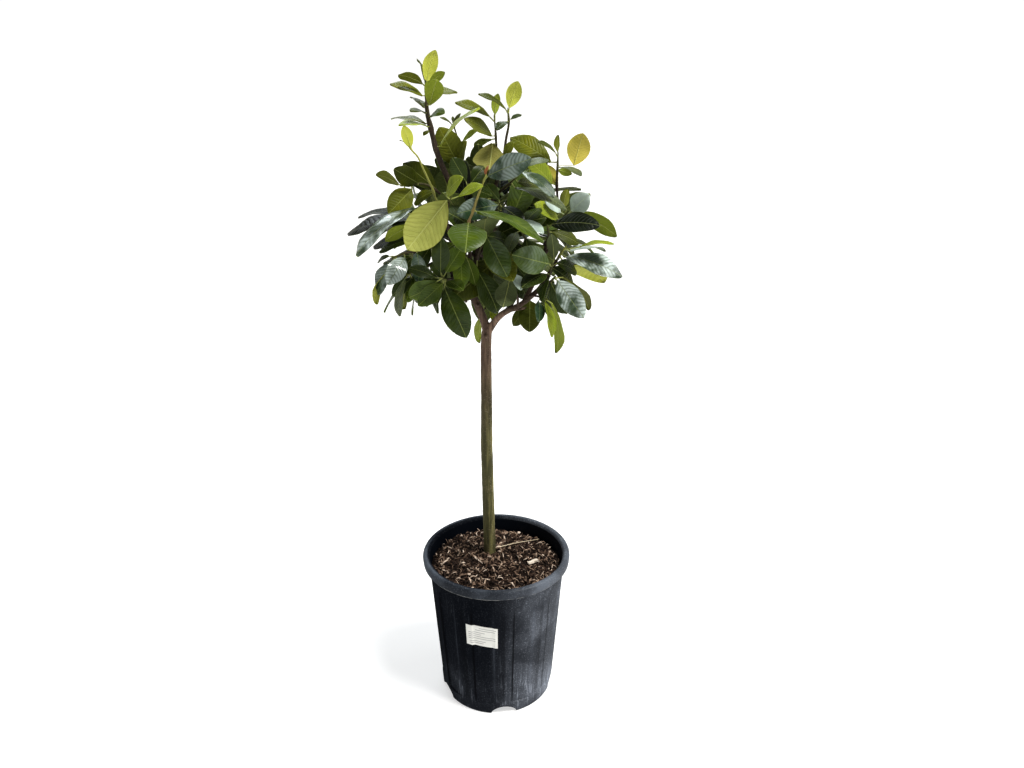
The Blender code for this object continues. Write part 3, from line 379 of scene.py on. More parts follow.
drills = []
for number in range(NOTCH_COUNT):
    turn = NOTCH_MIDDLE + number * math.tau / NOTCH_COUNT
    spot = (DRAIN_RING * math.sin(turn), -DRAIN_RING * math.cos(turn), 0.0)
    drills.append(begin("drill", bpy.ops.mesh.primitive_cylinder_add, vertices=DRAIN_SIDES,
                        radius=DRAIN_RADIUS, depth=DRILL_LENGTH, location=spot))
select_only(*drills)
bpy.ops.object.join()
drill = bpy.context.object
drain = pot.modifiers.new("Drain holes", "BOOLEAN")
drain.operation = "DIFFERENCE"
drain.solver = "EXACT"
drain.object = drill
apply_all(pot)
bpy.data.objects.remove(drill)
smooth_piece(pot, 40)
pitch = 360.0 / PANEL_COUNT
# Painted light and shade on the panels: a highlight within each panel and along its right edge, and painted
# shade at its left edge and on the rib, kept to the wall above the panels' foot and fading out towards the
# neck.
panel_light_values = []
for vertex in pot.data.vertices:
    turn = math.atan2(vertex.co.x, -vertex.co.y)
    height = vertex.co.z
    past_edge = (math.degrees(turn - PANEL_START) + pitch / 4) % pitch - pitch / 4
    light_here = sum(amount * math.exp(-((past_edge - middle) / width) ** 2)
              for middle, width, amount in PANEL_LIGHT_AND_SHADE)
    at_wall = math.hypot(*vertex.co.xy) > body_radius(height) - WALL / 2
    light_here *= ramp_share(height, PANEL_BOTTOM - 0.004, PANEL_BOTTOM + 0.006) if at_wall else 0.0
    panel_light_values.append(light_here * (1.0 - ramp_share(height, NECK_HEIGHT - 0.030, NECK_HEIGHT)))
pot.data.attributes.new("worn", "FLOAT", "POINT").data.foreach_set("value", panel_light_values)

pot_finish, start, shader = new_finish("black pot plastic", Specular_IOR_Level=0.0, Coat_Roughness=0.42)
place = place_on_piece(start)
level = part_of(place, 2)
side = part_of(place, 0)
flat = start.node("ShaderNodeVectorMath", {"operation": "MULTIPLY"}, {0: place, 1: (1, 1, 0)})
radius = start.node("ShaderNodeVectorMath", {"operation": "LENGTH"}, {0: flat}, output=1)
narrowing = (BODY_TOP_RADIUS - BODY_FOOT_RADIUS) / lip_foot
outside = ease(radius - narrowing * level - BODY_FOOT_RADIUS, -0.0038, -0.0034)
speckle = ease(grain(place, 480.0, 2.0), 0.57, 0.66)
cloud = ease(grain(place, 12.0, 5.0), 0.40, 0.66)
scratch = ease(grain(place_on_piece(start, (240.0, 240.0, 13.0)), 1.0, 3.0), 0.56, 0.70)
low_down = 1.0 - ease(level, 0.0, 0.15)
# Dust lies thicker low down and towards the right. The lighter right side is also painted light from the
# lamp on the right.
dust_and_light_right = ease(side, -0.02, 0.13)
worn = kept_value(start, "worn")
dust_and_painted_light = (0.35 + 0.65 * cloud) * (0.02 + 0.20 * low_down + 1.00 * dust_and_light_right)
marks = speckle * (0.08 + 0.85 * dust_and_painted_light)
marks = marks + scratch * (0.04 + 0.55 * low_down * cloud + 0.35 * dust_and_light_right * cloud)
scuffs_and_painted_light = (dust_and_painted_light * 0.55 + marks * 0.85) * outside
# Painted highlight on the panels, patchy and stronger towards the right.
panel_highlight = ease(worn, 0.0, 0.6) * (0.30 + 0.70 * cloud) * (0.35 + 0.65 * dust_and_light_right)
on_lip = ease(level, lip_foot - 0.001, lip_foot + 0.001)
on_lip = on_lip * ease(radius, MOUTH_RADIUS + 0.001, MOUTH_RADIUS + 0.006)
colour = blend(panel_highlight, POT_BLACK, PANEL_HIGHLIGHT_GREY)
# Dust and scuffs, together with the right side's painted light.
colour = blend(scuffs_and_painted_light, colour, DUST_AND_LIGHT_GREY)
# Painted shade at the panels' left edges and on the ribs.
colour = blend(ease(0.0 - worn, 0.0, 0.6) * 0.85, colour, PANEL_SHADE_BLACK)
colour = blend(on_lip * (0.14 + 0.44 * cloud + 0.30 * speckle), colour, LIP_GREY)
flash_line = ease(level, lip_foot - 0.0018, lip_foot - 0.0006)
flash_line = flash_line * (1.0 - ease(level, lip_foot + 0.0010, lip_foot + 0.0022))
broken = ease(grain(place, 70.0, 3.0), 0.35, 0.60)
colour = blend(flash_line * broken * outside * 0.90, colour, FLASH_GREY)
feed(colour, shader["Base Color"])
feed(0.50 + 0.30 * scuffs_and_painted_light, shader["Roughness"])
feed(0.03 + 0.16 * dust_and_light_right + 0.14 * on_lip, shader["Coat Weight"])
skin = grain(place, 900.0, 2.0) * 0.5 + scratch * 0.35 + grain(place, 60.0, 3.0)
feed(bump(skin, 0.35, 0.0006), shader["Normal"])
wear_finish(pot, pot_finish)
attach(pot, "root")
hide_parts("pot")


# Mulch: the root ball is covered with shredded bark, a crumbly dark layer with curled paler shreds and
# flakes lying in all directions, one bleached chip and a dry straw. It was strewn on by hand.
SOIL_DROP = 0.024
SOIL_MOUND = ((0.0, 0.006), (0.030, 0.005), (0.060, 0.002), (0.092, 0.0))
SOIL_EDGE_DROP = 0.004
SOIL_SLOPE = 0.035
SOIL_SHRINKAGE = 0.0015
SOIL_BOTTOM = FLOOR + NOTCH_HEIGHT + 0.0006
SOIL_RINGS = 26
SOIL_COLUMNS = 120
SHRED_COUNT = 3000
FLAKE_COUNT = 500
# Shreds and two flakes: length, width, thickness, cuts along them, bow and twist
SHRED_PATTERNS = (
    (0.0125, 0.0020, 0.0010, 3, 0.0022, 0.8), (0.0155, 0.0016, 0.0011, 3, -0.0016, 1.5),
    (0.0085, 0.0026, 0.0009, 2, 0.0014, 0.5), (0.0115, 0.0015, 0.0010, 3, 0.0044, 0.4),
    (0.0085, 0.0052, 0.0016, 2, 0.0008, 0.3), (0.0065, 0.0048, 0.0024, 1, 0.0004, 0.2))
SHRED_TAPER = 0.55
STRAW_ENDS = ((497.5, 547.3), (538.9, 538.2))
STRAW_RADIUS = 0.0009
STRAW_SWAY = 0.0018
PALE_CHIP = (532.8, 561.5)
CHIP_SIZE = (0.0200, 0.0130, 0.0030)
CHIP_RAGGED = 0.28
CHIP_BOW = 0.0016
LITTER_LIFT = 0.0062
MULCH_TONES = ((0.0045, 0.0030, 0.0022), (0.040, 0.024, 0.016))
SHRED_TONES = ((0.05, (0.010, 0.006, 0.004)), (1.0, (0.70, 0.58, 0.48)), (0.30, (0.019, 0.011, 0.008)),
               (0.52, (0.072, 0.043, 0.029)), (0.74, (0.290, 0.205, 0.148)))
STRAW_TONES = ((0.42, 0.33, 0.20), (0.68, 0.60, 0.46))
CHIP_TONES = ((0.42, 0.35, 0.28), (0.78, 0.70, 0.60))
TRUNK_FOOT = (489.8, 549.0, 2.2)
TRUNK_CLEARING = 0.015
soil_top = POT_HEIGHT - SOIL_DROP
soil_radius = body_radius(soil_top) - WALL - SOIL_SHRINKAGE
soil_foot_radius = body_radius(SOIL_BOTTOM) - WALL - SOIL_SHRINKAGE


def mulch_height(x, y):
    """Height of the crumbly surface, highest round the trunk and lower at the back right."""
    radius = math.hypot(x, y)
    rise = np.interp(radius, [spot for spot, _ in SOIL_MOUND] + [soil_radius],
                     [lift for _, lift in SOIL_MOUND] + [-SOIL_EDGE_DROP])
    clods = noise.noise(Vector((x, y, 0.0)) * 55.0) * 0.0030
    clods += noise.noise(Vector((x, y, 3.0)) * 190.0) * 0.0016
    return soil_top + rise + clods - SOIL_SLOPE * max(0.0, x + y)


mulch = begin("bark_mulch", bpy.ops.mesh.primitive_circle_add, vertices=SOIL_COLUMNS,
              radius=soil_foot_radius, fill_type="NGON", location=(0.0, 0.0, SOIL_BOTTOM))
edit_whole(mulch)
bpy.ops.mesh.extrude_region_move(TRANSFORM_OT_translate={"value": (0.0, 0.0, soil_top - SOIL_BOTTOM)})
widen = soil_radius / soil_foot_radius
bpy.ops.transform.resize(value=(widen, widen, 1.0), center_override=(0.0, 0.0, soil_top))
for _ in range(SOIL_RINGS - 1):
    bpy.ops.mesh.inset(thickness=soil_radius / SOIL_RINGS)
bpy.ops.mesh.poke()
bpy.ops.object.mode_set(mode="OBJECT")
bpy.ops.object.transform_apply(location=True, rotation=False, scale=False)
for vertex in mulch.data.vertices:
    if vertex.co.z > soil_top - 0.001:
        vertex.co.z = mulch_height(vertex.co.x, vertex.co.y)
face_outwards(mulch)
smooth_piece(mulch, 60)


def shred(length, width, thickness, cuts, bow, twist):
    """One bark shred, bowed and twisted: its vertices and faces, for strewing."""
    piece = begin("shred", bpy.ops.mesh.primitive_cube_add, size=1.0)
    cut_long_edges(piece, 0, cuts)
    corners = piece.data.vertices
    for vertex in corners:
        share = 2 * vertex.co.x
        taper = 1.0 - SHRED_TAPER * share * share
        turned = Matrix.Rotation(twist * share, 3, "X") @ Vector((0.0, vertex.co.y * width * taper,
                                                                  vertex.co.z * thickness * taper))
        vertex.co = turned + Vector((share * length / 2, 0.25 * bow * math.sin(2.2 * share),
                                     bow * (1.0 - share * share)))
    places = np.array([vertex.co[:] for vertex in corners])
    faces = [list(face.vertices) for face in piece.data.polygons]
    bpy.data.objects.remove(piece)
    return places, faces


def strew(name, patterns, spots):
    """Many copies of the patterns as one mesh, from spots of (pattern, matrix, shade)."""
    places, faces, shades, start_at = [], [], [], 0
    for pattern, matrix, shade in spots:
        points, loops = patterns[pattern]
        turned = points @ np.array(matrix.to_3x3()).T + np.array(matrix.translation)
        places.append(turned)
        faces += [[index + start_at for index in loop] for loop in loops]
        shades += [shade] * len(points)
        start_at += len(points)
    mesh = bpy.data.meshes.new(name)
    mesh.from_pydata(np.concatenate(places).tolist(), [], faces)
    kept = mesh.attributes.new("shade", "FLOAT", "POINT")
    kept.data.foreach_set("value", shades)
    return new_object(name, mesh)


shred_patterns = [shred(*pattern) for pattern in SHRED_PATTERNS]
foot = seen_at(*TRUNK_FOOT)
draw = random.Random(21)
spots = []
while len(spots) < SHRED_COUNT + FLAKE_COUNT:
    radius = (soil_radius - 0.004) * math.sqrt(draw.random())
    turn = draw.uniform(0.0, math.tau)
    x, y = radius * math.sin(turn), -radius * math.cos(turn)
    if math.hypot(x - foot.x, y - foot.y) < TRUNK_CLEARING:
        continue
    is_flake = len(spots) >= SHRED_COUNT
    tilt = draw.gauss(0.0, 0.20 if is_flake else 0.38)
    size = draw.uniform(0.60, 1.35)
    lift = draw.uniform(-0.0012, 0.0034) + abs(math.sin(tilt)) * 0.0020
    matrix = Matrix.Translation((x, y, mulch_height(x, y) + lift))
    matrix = matrix @ Matrix.Rotation(draw.uniform(0, math.tau), 4, "Z") @ Matrix.Rotation(tilt, 4, "Y")
    matrix = matrix @ Matrix.Rotation(draw.gauss(0.0, 0.5), 4, "X") @ Matrix.Scale(size, 4)
    pattern = draw.choice((4, 5)) if is_flake else draw.randrange(4)
    # Higher shreds are painted lighter and low ones darker. This is painted shade in the gaps between them,
    # on top of each shred's own tone.
    painted_light_by_height = min(1.0, max(0.0, (lift + 0.0004) / 0.0040))
    shade = min(1.0, 0.52 * draw.betavariate(0.8, 1.6) + 0.52 * painted_light_by_height * painted_light_by_height)
    spots.append((pattern, matrix, shade))
shreds = strew("bark_shreds", shred_patterns, spots)

mulch_finish, start, shader = new_finish("damp bark mulch", Roughness=0.95, Specular_IOR_Level=0.1)
place = place_on_piece(start)
crumbs = grain(place, 260.0, 5.0, 0.7)
flecks = ease(grain(place, 420.0, 2.0), 0.60, 0.72)
feed(blend(ease(crumbs, 0.40, 0.70) * 0.7 + flecks * 0.3, *MULCH_TONES), shader["Base Color"])
feed(bump(crumbs, 0.9, 0.004), shader["Normal"])
wear_finish(mulch, mulch_finish)

shred_finish, start, shader = new_finish("bark shreds", Roughness=0.8, Specular_IOR_Level=0.15)
place = place_on_piece(start)
shade = kept_value(start, "shade")
fibre = grain(place, 480.0, 3.0)
tone = shade + (fibre - 0.5) * 0.35
feed(tone.node("ShaderNodeValToRGB", {"stops": SHRED_TONES}, {"Fac": tone}), shader["Base Color"])
feed(bump(fibre, 0.6, 0.0008), shader["Normal"])
wear_finish(shreds, shred_finish)


def on_the_mulch(across, down):
    """Point on the sight line through (across, down) that lies just over the mulch."""
    spot = seen_at(across, down, 0.0)
    ray = (spot - EYE).normalized()
    return spot + ray * ((mulch_height(spot.x, spot.y) + LITTER_LIFT - spot.z) / ray.z)


straw_ends = [on_the_mulch(*spot) for spot in STRAW_ENDS]
straw_run = straw_ends[1] - straw_ends[0]
straw = begin("dry_straw", bpy.ops.mesh.primitive_cylinder_add, vertices=7, radius=STRAW_RADIUS, depth=1.0,
              end_fill_type="NGON")
cut_long_edges(straw, 2, 9)
turn_to_run = straw_run.to_track_quat("Z", "Y").to_matrix()
for vertex in straw.data.vertices:
    share = vertex.co.z + 0.5
    thickness = 1.0 - 0.45 * share
    across = turn_to_run @ Vector((vertex.co.x * thickness, vertex.co.y * thickness, 0.0))
    sway = Vector((0.0, 0.0, STRAW_SWAY * math.sin(5.0 * share) * share))
    vertex.co = straw_ends[0] + straw_run * share + across + sway
face_outwards(straw)
smooth_piece(straw, 60)
straw_finish, start, shader = new_finish("dry straw", Roughness=0.6)
fibre = grain(place_on_piece(start, (3.0, 3.0, 3.0)), 60.0, 3.0)
feed(blend(fibre, *STRAW_TONES), shader["Base Color"])
feed(bump(fibre, 0.3, 0.0004), shader["Normal"])
wear_finish(straw, straw_finish)

chip_middle = on_the_mulch(*PALE_CHIP)
chip = begin("bleached_chip", bpy.ops.mesh.primitive_cube_add, size=1.0)
edit_whole(chip)
bpy.ops.mesh.subdivide(number_cuts=4)
bpy.ops.object.mode_set(mode="OBJECT")
turned = Matrix.Rotation(math.radians(14), 3, "Z") @ Matrix.Rotation(math.radians(-16), 3, "X")
for vertex in chip.data.vertices:
    ragged = 1.0 + CHIP_RAGGED * noise.noise(vertex.co * 1.9 + Vector((4.0, 0.0, 0.0)))
    bow = CHIP_BOW * math.sin(4.0 * vertex.co.x)
    vertex.co = chip_middle + turned @ Vector((vertex.co.x * CHIP_SIZE[0] * ragged,
                                               vertex.co.y * CHIP_SIZE[1] * ragged,
                                               vertex.co.z * CHIP_SIZE[2] + bow))
smooth_piece(chip, 50)
chip_finish, start, shader = new_finish("bleached wood", Roughness=0.85)
fibre = grain(place_on_piece(start, (60.0, 380.0, 380.0)), 1.0, 3.0)
feed(blend(ease(fibre, 0.35, 0.65), *CHIP_TONES), shader["Base Color"])
feed(bump(fibre, 0.5, 0.0006), shader["Normal"])
wear_finish(chip, chip_finish)
for piece in (mulch, shreds, straw, chip):
    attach(piece, "root")
    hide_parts("soil")


# Trunk and limbs: one clean stem headed at two thirds of its height, forking into limbs with knobbly spurs.
# The bark is smooth and young: olive below, pinkish brown towards the fork, dotted with pale pores.
TRUNK_ROUTE = ((486.8, 449, 1.8), (486.6, 400, 1.5), (486.0, 345, 1.2), (487.6, 328, 1.0))
TRUNK_RADII = (0.0120, 0.0088)
TRUNK_SIDES = 12
TRUNK_COLLAR = 0.012
HOLE_DEPTH = 0.050
TOUCH_GAP = 0.0003
Limb = namedtuple("Limb", "name radii route")
LIMBS = (
    Limb("left_limb", (0.0076, 0.0058), (
        (487.6, 333, 1), (483, 318, 0.9), (475, 300, 0.5), (467, 286, 0), (470, 268, 0))),
    Limb("right_limb", (0.0066, 0.0026), (
        (487.6, 333, 1), (495, 321, 0.3), (505, 312, -1), (520, 305, -2), (538, 290, -3), (549, 274, -4),
        (556, 262, -5))),
    Limb("leader_limb", (0.005, 0.0034), ((467, 284, 0), (465, 262, -1.5), (461, 235, -3), (457, 205, -4))),
    Limb("centre_limb", (0.0046, 0.0028), (
        (468, 282, 0), (476, 262, 0.2), (485, 232, 1), (493, 200, 1.8), (497, 178, 2))),
    Limb("front_limb", (0.004, 0.0024), (
        (469, 288, 0.2), (470, 274, -3.5), (470, 255, -7.5), (469, 236, -11))),
    Limb("left_front_limb", (0.0042, 0.0024), (
        (467, 286, 0), (459, 268, -4), (451, 242, -8), (446, 217, -12))),
    Limb("left_low_limb", (0.004, 0.0024), (
        (468, 288, 0.2), (456, 274, -1.5), (442, 262, -3.5), (430, 254, -5))),
    Limb("right_up_limb", (0.0044, 0.0024), (
        (524, 303, -2.2), (536, 276, -0.8), (548, 240, 0.6), (556, 202, 2))),
    Limb("back_left_limb", (0.0046, 0.0026), (
        (473, 296, 0.4), (458, 272, 4.5), (440, 246, 8.5), (428, 222, 11))),
    Limb("back_right_limb", (0.0046, 0.0026), (
        (508, 310, -1.2), (522, 284, 4), (540, 254, 8.5), (552, 228, 11.5))),
    Limb("back_limb", (0.004, 0.0026), ((474, 268, 0.2), (480, 240, 4.5), (486, 212, 8.5), (490, 192, 11))),
)
MAIN_LIMBS = ("left_limb", "right_limb", "leader_limb")
MAIN_LIMB_SIDES = 6
TWIG_SIDES = 4
SPUR_SWELL = (1.25, 1.05)
SPUR_SLANT = 0.5
SPUR_END = 0.010
SPUR_END_SHARE = 0.4
SHORTEST_STRETCH = 0.012
WOOD_GRAIN = 0.0013
KNOBS = ((463.0, 292.0, -0.6, 0.0042), (461.0, 297.0, -0.2, 0.0034), (466.0, 301.0, -0.6, 0.0030),
         (489.9, 406.0, 1.0, 0.0040), (509.0, 309.0, -1.6, 0.0034), (531.0, 296.0, -3.2, 0.0036),
         (541.0, 285.0, -3.8, 0.0030), (486.0, 336.0, 0.2, 0.0046), (478.0, 305.0, -0.2, 0.0030))


def smooth_route(points, cuts):
    """Catmull-Rom curve through the points, with cuts stretches between each two."""
    ends = [points[0] * 2 - points[1]] + list(points) + [points[-1] * 2 - points[-2]]
    route = []
    for before, start, end, after in zip(ends, ends[1:], ends[2:], ends[3:]):
        for cut in range(cuts):
            t = cut / cuts
            bend = (2 * before - 5 * start + 4 * end - after) * t ** 2
            twist = (3 * start - before - 3 * end + after) * t ** 3
            route.append(start + 0.5 * ((end - before) * t + bend + twist))
    route.append(points[-1].copy())
    return route


def nearest_on(route, point):
    """Nearest point of a route, and how far along it that lies in stretches."""
    best = None
    for index, (start, end) in enumerate(zip(route, route[1:])):
        run = end - start
        share = min(1.0, max(0.0, (point - start).dot(run) / run.length_squared))
        spot = start + run * share
        if best is None or (spot - point).length < best[0]:
            best = ((spot - point).length, index + share, spot)
    return best[2], best[1]


def point_along(route, place):
    """Point of a route at a place counted in stretches."""
    place = min(max(place, 0.0), len(route) - 1.0001)
    index = int(place)
    return route[index].lerp(route[index + 1], place - index)


def tube(name, route, radii, sides):
    """Tapered rod along a route with its flat ends welded on. radii are its two ends' or every point's."""
    if len(radii) == 2:
        last = len(route) - 1
        radii = [radii[0] + (radii[1] - radii[0]) * index / last for index in range(last + 1)]
    curve = bpy.data.curves.new(name, "CURVE")
    curve.dimensions = "3D"
    curve.bevel_depth = 1.0
    curve.bevel_resolution = sides // 2 - 2
    curve.use_fill_caps = True
    spline = curve.splines.new("POLY")
    spline.points.add(len(route) - 1)
    for spot, place, radius in zip(spline.points, route, radii):
        spot.co = (*place, 1.0)
        spot.radius = radius
    rod = new_object(name, curve)
    bpy.context.view_layer.update()
    mesh = bpy.data.meshes.new_from_object(rod.evaluated_get(bpy.context.evaluated_depsgraph_get()))
    bpy.data.objects.remove(rod)
    bm = bmesh.new()
    bm.from_mesh(mesh)
    bmesh.ops.remove_doubles(bm, verts=bm.verts, dist=0.00001)
    bmesh.ops.recalc_face_normals(bm, faces=bm.faces)
    bm.to_mesh(mesh)
    bm.free()
    return new_object(name, mesh)


def spur_route(limb_route, shoot_start, direction):
    """Route from a limb to a shoot's start: it leaves at a slant and ends in the shoot's line."""
    _, place = nearest_on(limb_route, shoot_start)
    spot = point_along(limb_route, place)
    spread = (shoot_start - spot).length
    stretch = max(SHORTEST_STRETCH, (limb_route[1] - limb_route[0]).length)
    leave = point_along(limb_route, place - SPUR_SLANT * spread / stretch)
    straight_end = min(SPUR_END, SPUR_END_SHARE * (shoot_start - leave).length)
    return [leave, shoot_start - direction * straight_end, shoot_start]


buried = Vector((foot.x, foot.y, soil_top - HOLE_DEPTH + TOUCH_GAP))
collar = Vector((foot.x, foot.y, soil_top + TRUNK_COLLAR))
limb_routes = {"trunk": [buried] + smooth_route([collar] + [seen_at(*spot) for spot in TRUNK_ROUTE], 2)}
plain_limbs = {"trunk": (limb_routes["trunk"], TRUNK_RADII, TRUNK_SIDES)}
for limb in LIMBS:
    limb_routes[limb.name] = [seen_at(*spot) for spot in limb.route]
    sides = MAIN_LIMB_SIDES if limb.name in MAIN_LIMBS else TWIG_SIDES
    plain_limbs[limb.name] = (limb_routes[limb.name], limb.radii, sides)


# Shoots: each spur ends in a leafy shoot, green or brown at its foot and yellow-green at its tip, with
# glossy leathery leaves set singly round it on short stalks. The young leaves at the top are smaller and
# yellower.
BLADE_ROWS = (0.0, 0.34, 0.74, 1.0)
OUTLINE_SKEW = 0.92
OUTLINE_FULLNESS = 0.72
BLADE_THICKNESS = 0.0008
BLADE_RATIO = 0.50
BLADE_ARCH = 0.075
BLADE_FOLD = math.radians(10.0)
BLADE_WAVE = 0.035
WAVES_PER_BLADE = 1.6
STALK_WIDTH = 0.0024
STALK_LENGTH = 0.012
UPPER = 1
UNDER = -1
CLEARANCE = 0.0022
SWING_STEP = 0.7
SWING_COUNT = 8
ROLLS = (0.0, 0.3, -0.3, 0.6, -0.6)
FOOT_LEAN = 0.15
ROOT_FIRST = 0.3
ROOT_LAST = 1.15
CROWN_MIDDLE = Vector((-0.014, 0.010, 0.872))
CROWN_RADII = Vector((0.198, 0.200, 0.172))
HIDDEN_SHOOTS = (
    (20, 12, 0.56), (55, -8, 0.56), (90, 10, 0.56), (125, -10, 0.56), (162, 8, 0.56), (38, 42, 0.56),
    (75, 38, 0.56), (112, 40, 0.56), (148, 40, 0.56), (92, 72, 0.50), (192, 28, 0.56),
    (188, -22, 0.56), (92, -38, 0.56), (270, 12, 0.30), (232, 40, 0.36), (318, 36, 0.36),
    (300, -22, 0.34), (10, 66, 0.46))
HIDDEN_STEM_LENGTH = 0.26
HIDDEN_STEM_BOW = 0.004
HIDDEN_RADII = (0.0019, 0.0012)
HIDDEN_LEAVES = 5
HIDDEN_LENGTH = (0.082, 0.102)
HIDDEN_PLACES = (0.35, 0.97)
HIDDEN_SPREADS = (math.radians(66.0), math.radians(28.0))
HIDDEN_DROOP = 0.16
SHOOTWARD = 0.9
SKYWARD = 0.7
LEAF_TURN = math.radians(144.0)
SIZE_STEPS = (1.0, 0.85)
SPREAD_STEPS = (0.0, 0.22, -0.22, 0.44, -0.44)
TURN_STEPS = (0.0, 0.35, -0.35, 0.7, -0.7, 1.05, -1.05)

Shoot = namedtuple("Shoot", "name limb radii stem leaves")
Leaf = namedtuple("Leaf", "foot tip wide lean shows")
Pose = namedtuple("Pose", "root foot tip normal width phase")
Obstacle = namedtuple("Obstacle", "tree middle reach owner kind")

